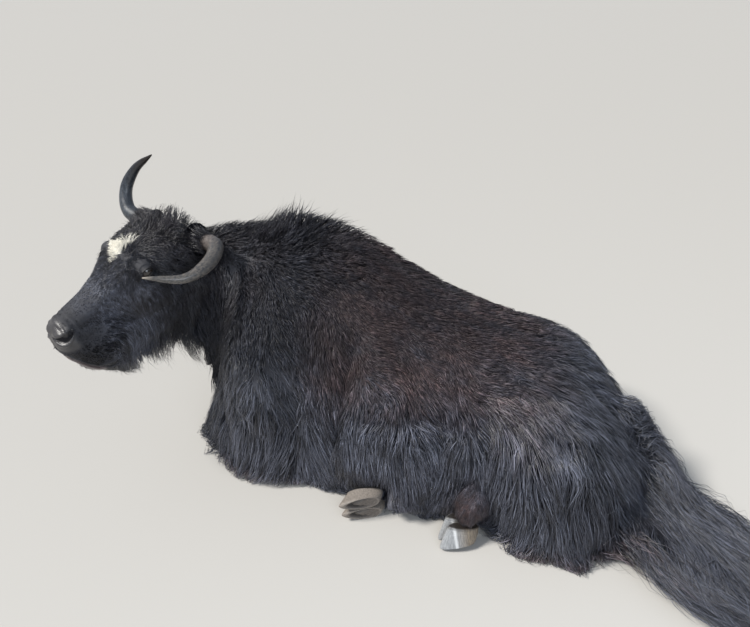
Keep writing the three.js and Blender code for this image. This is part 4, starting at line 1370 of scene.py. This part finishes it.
def hoof_material():
    """Dusty grey-beige, or silvery with a painted highlight streak and tan to the heel; painted
    shade darkens the sole's groove and the wall under the coronet.
    """
    look = Look("yak_hoof")
    sole, silver, groove_and_coronet_shade = look.channels("grow")
    fore = look.channels("wall")[0]
    grain = look.mapped(look.noise(34.0, at=look.attribute("wall")), 0.36, 0.64)
    blotch = look.mapped(look.noise(38.0, 5.0), 0.34, 0.66)
    fine = look.noise(190.0, 5.0)
    dusty = look.mix(blotch, (0.110, 0.094, 0.082), (0.290, 0.255, 0.222))
    bright = look.mix(grain, (0.19, 0.195, 0.205), (0.31, 0.32, 0.33))
    tan = look.mix(grain, (0.105, 0.085, 0.066), (0.250, 0.205, 0.155))
    bright = look.mix(look.mapped(fore, 0.30, 0.62), tan, bright)
    # Painted highlight: a bright band round the wall at six tenths of the way from heel to toe
    beside = look.maths("SUBTRACT", fore, 0.60)
    painted_glint = look.mapped(look.times(beside, beside), 0.0, 0.0022, 0.75, 0.0)
    bright = look.mix(painted_glint, bright, (0.66, 0.67, 0.68))
    worn = look.mix(blotch, (0.060, 0.050, 0.044), (0.195, 0.168, 0.146))
    colour = look.mix(sole, look.mix(silver, dusty, bright), worn)
    grime_and_painted_shade = look.mapped(fine, 0.50, 0.78, 0.0, 0.40)
    grime_and_painted_shade = look.times(grime_and_painted_shade, look.mapped(silver, 0.0, 1.0, 1.0, 0.2))
    colour = look.mix(grime_and_painted_shade, colour, (0.05, 0.041, 0.035))
    # Painted shade: near black in the sole's groove and on the wall under the coronet
    colour = look.mix(look.times(groove_and_coronet_shade, 0.95), colour, (0.018, 0.014, 0.012))
    look.feed(look.inputs["Base Color"], colour)
    look.feed(look.inputs["Roughness"], look.mapped(silver, 0.0, 1.0, 0.62, 0.36))
    look.bump(fine, 0.0012, 0.4)
    return look.material


def eye_material():
    look = Look("yak_eye")
    colour = look.mix(look.noise(120.0), (0.004, 0.003, 0.003), (0.022, 0.012, 0.008))
    look.feed(look.inputs["Base Color"], colour)
    look.inputs["Roughness"].default_value = 0.06
    look.inputs["Coat Weight"].default_value = 0.6
    look.inputs["Coat Roughness"].default_value = 0.03
    return look.material


def plain_material(name, colour, roughness):
    look = Look(name)
    shaded = look.mix(look.noise(3.0), colour, tuple(c * 0.97 for c in colour))
    look.feed(look.inputs["Base Color"], shaded)
    look.inputs["Roughness"].default_value = roughness
    return look.material


# Horns

PATH_STEPS = 40


def smooth_path(points, count):
    """Centripetal Catmull-Rom curve through the points, evenly spaced."""
    p = np.array(points, float)
    p = np.concatenate([[2 * p[0] - p[1]], p, [2 * p[-1] - p[-2]]])
    fine = []
    for i in range(1, len(p) - 2):
        p0, p1, p2, p3 = p[i - 1:i + 3]
        t0 = 0.0
        t1 = t0 + np.linalg.norm(p1 - p0) ** 0.5
        t2 = t1 + np.linalg.norm(p2 - p1) ** 0.5
        t3 = t2 + np.linalg.norm(p3 - p2) ** 0.5
        for t in np.linspace(t1, t2, PATH_STEPS, endpoint=False):
            a1 = (t1 - t) / (t1 - t0) * p0 + (t - t0) / (t1 - t0) * p1
            a2 = (t2 - t) / (t2 - t1) * p1 + (t - t1) / (t2 - t1) * p2
            a3 = (t3 - t) / (t3 - t2) * p2 + (t - t2) / (t3 - t2) * p3
            b1 = (t2 - t) / (t2 - t0) * a1 + (t - t0) / (t2 - t0) * a2
            b2 = (t3 - t) / (t3 - t1) * a2 + (t - t1) / (t3 - t1) * a3
            fine.append((t2 - t) / (t2 - t1) * b1 + (t - t1) / (t2 - t1) * b2)
    fine = np.array(fine + [p[-2]])
    gone = np.concatenate([[0], np.cumsum(np.linalg.norm(np.diff(fine, axis=0), axis=1))])
    even = np.linspace(0, gone[-1], count)
    return np.stack([np.interp(even, gone, fine[:, k]) for k in range(3)], axis=1)


def wall_faces(rings, sides):
    faces = []
    for r in range(rings - 1):
        for s in range(sides):
            a, b = r * sides + s, r * sides + (s + 1) % sides
            faces.append((a, b, b + sides, a + sides))
    return faces


HORN_RINGS = 110
HORN_SIDES = 40
HORN_TIP = 0.003
# The photo's far horn is worn smooth
FAR_HORN_WEAR = 0.3


def make_horn(name, path, look):
    rings, sides = HORN_RINGS, HORN_SIDES
    centre = from_head(smooth_path(path, rings))
    root = centre[0] - HORN_ROOT * unit(centre[1] - centre[0])
    centre = np.concatenate([[root], centre])
    rings += 1
    tangent = unit(np.gradient(centre, axis=0))
    side = unit(np.cross(tangent, HEAD_AXES[1]))
    up = np.cross(side, tangent)
    t = np.concatenate([[0], np.linspace(0, 1, rings - 1)])
    radius = np.interp(t, *zip(*HORN_RADIUS))
    angle = np.arange(sides) / sides * 2 * math.pi
    worn = FAR_HORN_WEAR if "right" in name else 1.0
    growth = worn * 0.0008 * np.sin(t * 95 + 3 * np.sin(t * 11)) * np.clip(1 - t * 1.7, 0, 1)
    flake = worn * 0.0009 * np.sin(angle * 3 + t[:, None] * 30)
    flake = flake * np.sin(angle * 7 - t[:, None] * 44)
    flake *= np.clip(1 - t * 1.9, 0, 1)[:, None]
    grown = radius[:, None] * (1 + 0.04 * np.cos(2 * angle))[None, :] + growth[:, None] + flake
    spoke = side[:, None] * np.cos(angle)[None, :, None]
    spoke = spoke + up[:, None] * np.sin(angle)[None, :, None]
    ring = centre[:, None] + grown[:, :, None] * spoke
    tip_point = centre[-1] + tangent[-1] * HORN_TIP
    verts = np.concatenate([ring.reshape(-1, 3), [centre[0]], [tip_point]])
    faces = wall_faces(rings, sides)
    base, tip, last = rings * sides, rings * sides + 1, (rings - 1) * sides
    for s in range(sides):
        faces.append((base, (s + 1) % sides, s))
        faces.append((tip, last + s, last + (s + 1) % sides))
    mesh = bpy.data.meshes.new(name)
    mesh.from_pydata(verts.tolist(), [], faces)
    mesh.polygons.foreach_set("use_smooth", np.ones(len(faces), bool))
    along = np.concatenate([np.repeat(t, sides), [0, 1]])
    dark = 0 * along + (1.0 if "right" in name else 0.0)
    set_colour(mesh, "grow", np.stack([along, dark, 0 * along], axis=1))
    mesh.materials.append(look)
    piece = link(bpy.data.objects.new(name + "_fine", mesh))
    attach(piece, "root")
    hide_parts(name)


# Eyes: a ball with a slightly raised cornea

CORNEA_RISE = 0.035
CORNEA_EDGE = 0.78


def make_eye(name, side, look):
    shape = bmesh.new()
    bmesh.ops.create_uvsphere(shape, u_segments=48, v_segments=32, radius=EYE_RADIUS)
    gaze = unit(np.array(EYE_AIM) * (side, 1, 1) @ HEAD_AXES)
    for vert in shape.verts:
        toward = float(np.dot(np.array(vert.co), gaze)) / EYE_RADIUS
        vert.co *= 1 + CORNEA_RISE * max(0.0, (toward - CORNEA_EDGE) / (1 - CORNEA_EDGE))
    mesh = bpy.data.meshes.new(name)
    shape.to_mesh(mesh)
    shape.free()
    mesh.transform(Matrix.Translation(Vector(middle(name) - EYE_INSET * gaze)))
    mesh.polygons.foreach_set("use_smooth", np.ones(len(mesh.polygons), bool))
    mesh.materials.append(look)
    piece = link(bpy.data.objects.new(name + "_ball", mesh))
    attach(piece, "root")
    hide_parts(name)


# Hooves: the claws of the solids with many more outlines, growth lines and a hollow sole

CLAW_BROAD = -0.1
CLAW_TOE_BACK = 0.3
CLAW_HEEL_IN = 0.12
CLAW_TOE_TAPER = 0.32
CLAW_TOP_TAPER = 0.2
CORONET_SLOPE = 0.42
CLAW_GAP = 0.0006
CLAW_STAGGER = 0.008
CLAW_TOE_IN = 0.04
CLAW_BLUNT_TO = 0.16
# Each hoof in the pose frame: place, heading, lean and pitch in degrees; length, width, height and
# toe bluntness of a claw; and how silvery it is
HOOVES = {
    "hoof_hind_left": ((0.384, 0.180, 0.004), -62, 12, 6, (0.114, 0.040, 0.070, 0.03), 1.0),
    "hoof_hind_right": ((0.380, -0.090, 0.045), -63, 82, 0, (0.134, 0.044, 0.052, 0.12), 0.0),
    "hoof_fore_right": ((-0.352, -0.205, 0.0), 105, 0, 0, (0.114, 0.040, 0.062, 0.06), 0.3),
}
# Below 1 the outline of a claw is squarer than an ellipse
CLAW_ROUND = 0.84
CLAW_RINGS = 36
CLAW_SIDES = 64


def claw_outline(level, size):
    """The outline of a claw at one share of its height, toe along +x."""
    long, wide, high, blunt = size
    angle = np.arange(CLAW_SIDES) / CLAW_SIDES * 2 * math.pi
    front, across = (np.sign(c) * np.abs(c) ** CLAW_ROUND
                     for c in (np.cos(angle), np.sin(angle)))
    broad = CLAW_BROAD * long
    blunting = blunt * max(0.0, 1 - level / CLAW_BLUNT_TO) ** 2
    toe = (0.5 - CLAW_TOE_BACK * level - blunting) * long
    heel = (-0.5 + CLAW_HEEL_IN * (1 - level) ** 2) * long
    along = broad + np.where(front > 0, (toe - broad) * front, (broad - heel) * front)
    taper = (1 - CLAW_TOE_TAPER * np.maximum(front, 0) ** 2) * (1 - CLAW_TOP_TAPER * level)
    up = high * level * (1 - CORONET_SLOPE * (0.5 - along / long))
    return np.stack([along, across * wide * taper / 2, up], axis=1)


# Rings of the sole as shares of its outline: a groove runs inside the rim at the toe
SOLE_SHARES = (0.02, 0.2, 0.4, 0.55, 0.64, 0.70, 0.75, 0.80, 0.85, 0.90, 0.95, 0.985)
GROOVE_AT = 0.68
GROOVE_HALF = 0.12
GROOVE_DEEP = 0.013


def claw_mesh(size):
    """Rings of a claw: from the middle of its sole round the edge and up to the coronet."""
    sole = claw_outline(0.0, size)
    front = np.cos(np.arange(CLAW_SIDES) / CLAW_SIDES * 2 * math.pi)
    toeward = ramp(front, -0.35, 0.55)
    middle = np.array([CLAW_BROAD * size[0], 0, 0])
    rings, is_sole, grime_and_painted_shade = [], [], []
    for share in SOLE_SHARES:
        ring = middle + (sole - middle) * share
        groove = bell(share, GROOVE_AT, GROOVE_HALF) * toeward
        ring[:, 2] = GROOVE_DEEP * groove + 0.002 * ramp(-share, -0.93, -0.45)
        rough = 0.0016 * np.sin(ring[:, 0] * 330 + ring[:, 1] * 260)
        ring[:, 2] += rough * ramp(-share, -0.9, -0.6)
        ring[:, 2] = np.maximum(ring[:, 2], 0)
        rings.append(ring)
        is_sole.append(np.full(CLAW_SIDES, ramp(-share, -0.93, -0.82)))
        # Painted shade in the sole's groove
        grime_and_painted_shade.append(groove)
    for level in np.linspace(0.006, 1, CLAW_RINGS):
        ring = claw_outline(level, size)
        line = 0.0003 * math.sin(level * 62) + 0.0002 * math.sin(level * 151 + 1)
        swell = 0.0012 * bell(level, 0.93, 0.05) - 0.0012 * ramp(level, 0.96, 1.0)
        outward = unit((ring - middle) * (1, 1, 0))
        rings.append(ring + outward * (line + swell))
        is_sole.append(np.zeros(CLAW_SIDES))
        # Painted shade: the wall darkens towards the coronet, under the pastern's hair
        grime_and_painted_shade.append(np.full(CLAW_SIDES, 0.8 * ramp(level, 0.86, 1.0)))
    top = rings[-1].mean(axis=0)
    # The top caps are painted fully in shade
    for share in (0.85, 0.5, 0.02):
        rings.append(top + (rings[-1] - top) * share)
        is_sole.append(np.zeros(CLAW_SIDES))
        grime_and_painted_shade.append(np.ones(CLAW_SIDES))
    verts = np.concatenate(rings)
    faces = wall_faces(len(rings), CLAW_SIDES)
    faces.append(tuple(range(CLAW_SIDES - 1, -1, -1)))
    faces.append(tuple(range(len(verts) - CLAW_SIDES, len(verts))))
    mesh = bpy.data.meshes.new("claw")
    mesh.from_pydata(verts.tolist(), [], faces)
    return mesh, np.concatenate(is_sole), np.concatenate(grime_and_painted_shade)


def make_hooves(look):
    for name, (place, heading, lean, pitch, size, silver) in HOOVES.items():
        heel_lift = size[0] / 2 * math.sin(math.radians(pitch))
        turn = Matrix.Rotation(math.radians(heading), 4, "Z")
        turn = turn @ Matrix.Rotation(math.radians(lean), 4, "X")
        turn = turn @ Matrix.Translation((0, 0, heel_lift))
        turn = turn @ Matrix.Rotation(math.radians(pitch), 4, "Y")
        placed = Matrix.Translation(Vector(np.array(place) + POSE_SHIFT)) @ turn
        for letter, side in (("a", 1), ("b", -1)):
            mesh, sole, grime_and_painted_shade = claw_mesh(size)
            back = CLAW_STAGGER if side < 0 else 0
            spread = side * (size[1] / 2 + CLAW_GAP)
            own = Matrix.Translation((-back, spread, 0))
            own = own @ Matrix.Rotation(-side * CLAW_TOE_IN, 4, "Z")
            own_shape = read_verts(mesh)
            fore = own_shape[:, 0] / size[0] + 0.5
            around = np.tile(np.arange(CLAW_SIDES) / CLAW_SIDES, len(own_shape) // CLAW_SIDES)
            rise = own_shape[:, 2] / size[2]
            mesh.transform(placed @ own)
            mesh.polygons.foreach_set("use_smooth", np.ones(len(mesh.polygons), bool))
            set_colour(mesh, "grow", np.stack([sole, silver + 0 * sole, grime_and_painted_shade], axis=1))
            wall = np.stack([fore, np.abs(2 * around - 1), 0.1 * rise], axis=1)
            set_colour(mesh, "wall", wall)
            mesh.materials.append(look)
            piece = link(bpy.data.objects.new(name + "_" + letter + "_fine", mesh))
            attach(piece, "root")
            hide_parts(name + "_" + letter)


# Floor, light and camera

FLOOR_COLOUR = (0.46, 0.445, 0.42)
# Far off the floor rises a little, so that it fills the photo's frame to its top
FAR_FLOOR = 2000
FAR_RISE = 0.01
FAR_LIFT = 0.005
SKY_COLOUR, SKY_STRENGTH = (0.76, 0.86, 1.0, 1), 0.44


def make_stage():
    bpy.ops.mesh.primitive_plane_add(size=2 * FAR_FLOOR)
    floor = bpy.context.active_object
    floor.name = "floor"
    floor.data.materials.append(plain_material("floor_pale", FLOOR_COLOUR, 0.9))
    away = CAMERA_BACK * (1, 1, 0)
    bpy.ops.mesh.primitive_plane_add(size=2 * FAR_FLOOR)
    rising = bpy.context.active_object
    rising.name = "floor_rising"
    under_camera = CAMERA_PLACE * (1, 1, 0) + POSE_SHIFT * (1, 1, 0)
    rising.location = under_camera - away * FAR_FLOOR + (0, 0, FAR_LIFT * FAR_FLOOR)
    rising.rotation_mode = "QUATERNION"
    rising.rotation_quaternion = Vector(away * FAR_RISE + (0, 0, 1)).to_track_quat("Z", "Y")
    rising.data.materials.append(floor.data.materials[0])
    world = bpy.data.worlds.new("studio")
    world.use_nodes = True
    sky = world.node_tree.nodes["Background"]
    sky.inputs[0].default_value = SKY_COLOUR
    sky.inputs[1].default_value = SKY_STRENGTH
    bpy.context.scene.world = world
    bpy.context.scene.view_settings.view_transform = "Standard"


KEY_FROM = (0.42, -0.68, 0.86)
KEY_STRENGTH = 4.8
KEY_SOFTNESS = math.radians(16)
FILL_PLACE, FILL_AIM = (3.0, 1.6, 1.8), (0.1, 0.2, 0.2)
FILL_SIZE, FILL_POWER = 2.4, 60


def make_lights():
    sun = bpy.data.lights.new("key", "SUN")
    sun.energy = KEY_STRENGTH
    sun.angle = KEY_SOFTNESS
    sun.color = (1.0, 0.97, 0.92)
    lamp = link(bpy.data.objects.new("key", sun))
    lamp.rotation_euler = Vector(KEY_FROM).to_track_quat("Z", "Y").to_euler()
    disk = bpy.data.lights.new("fill", "AREA")
    disk.shape = "DISK"
    disk.size = FILL_SIZE
    disk.energy = FILL_POWER
    disk.color = (0.84, 0.91, 1.0)
    lamp = link(bpy.data.objects.new("fill", disk))
    lamp.location = FILL_PLACE
    aim = Vector(FILL_AIM) - Vector(FILL_PLACE)
    lamp.rotation_euler = aim.to_track_quat("-Z", "Y").to_euler()


def make_camera():
    data = bpy.data.cameras.new("camera")
    data.sensor_width = SENSOR_WIDTH
    data.lens = SENSOR_WIDTH * FOCAL_PIXELS / PHOTO_WIDTH
    camera = link(bpy.data.objects.new("camera", data))
    camera.location = CAMERA_PLACE + POSE_SHIFT
    camera.rotation_mode = "QUATERNION"
    camera.rotation_quaternion = Vector(-CAMERA_BACK).to_track_quat("-Z", "Y")
    bpy.context.scene.camera = camera


def make_skin(look):
    mesh, cad_tree, owner, shell = skin_shape()
    refine(mesh)
    sculpt_face(mesh)
    mesh.polygons.foreach_set("use_smooth", np.ones(len(mesh.polygons), bool))
    verts = read_verts(mesh)
    set_colour(mesh, "mark", markings(verts))
    bare, head = bare_skin(verts), to_head(verts)
    # Channels of bare: bare skin, the painted sheen level, and the eye slits that are darkened
    # partly as painted shade
    set_colour(mesh, "bare", np.stack([bare, painted_sheen(verts), eye_share(head)], axis=1))
    set_colour(mesh, "lip", lip_share(head)[:, None] * np.ones(3))
    mesh.materials.append(look)
    skin_obj = link(bpy.data.objects.new("skin", mesh))
    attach(skin_obj, "root")
    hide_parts(*FLESH)
    return skin_obj, Skin(mesh, cad_tree, owner, shell)


make_camera()
make_lights()
make_stage()
skin_piece, skin_data = make_skin(skin_material())
make_coat(skin_piece, skin_data, coat_material("yak_coat", 0.36, 0.60),
          coat_material("yak_coat_short", 0.48, 0.45))
horn_look = horn_material()
make_horn("horn_left", LEFT_HORN, horn_look)
make_horn("horn_right", RIGHT_HORN, horn_look)
eye_look = eye_material()
make_eye("eye_left", -1, eye_look)
make_eye("eye_right", 1, eye_look)
make_hooves(hoof_material())
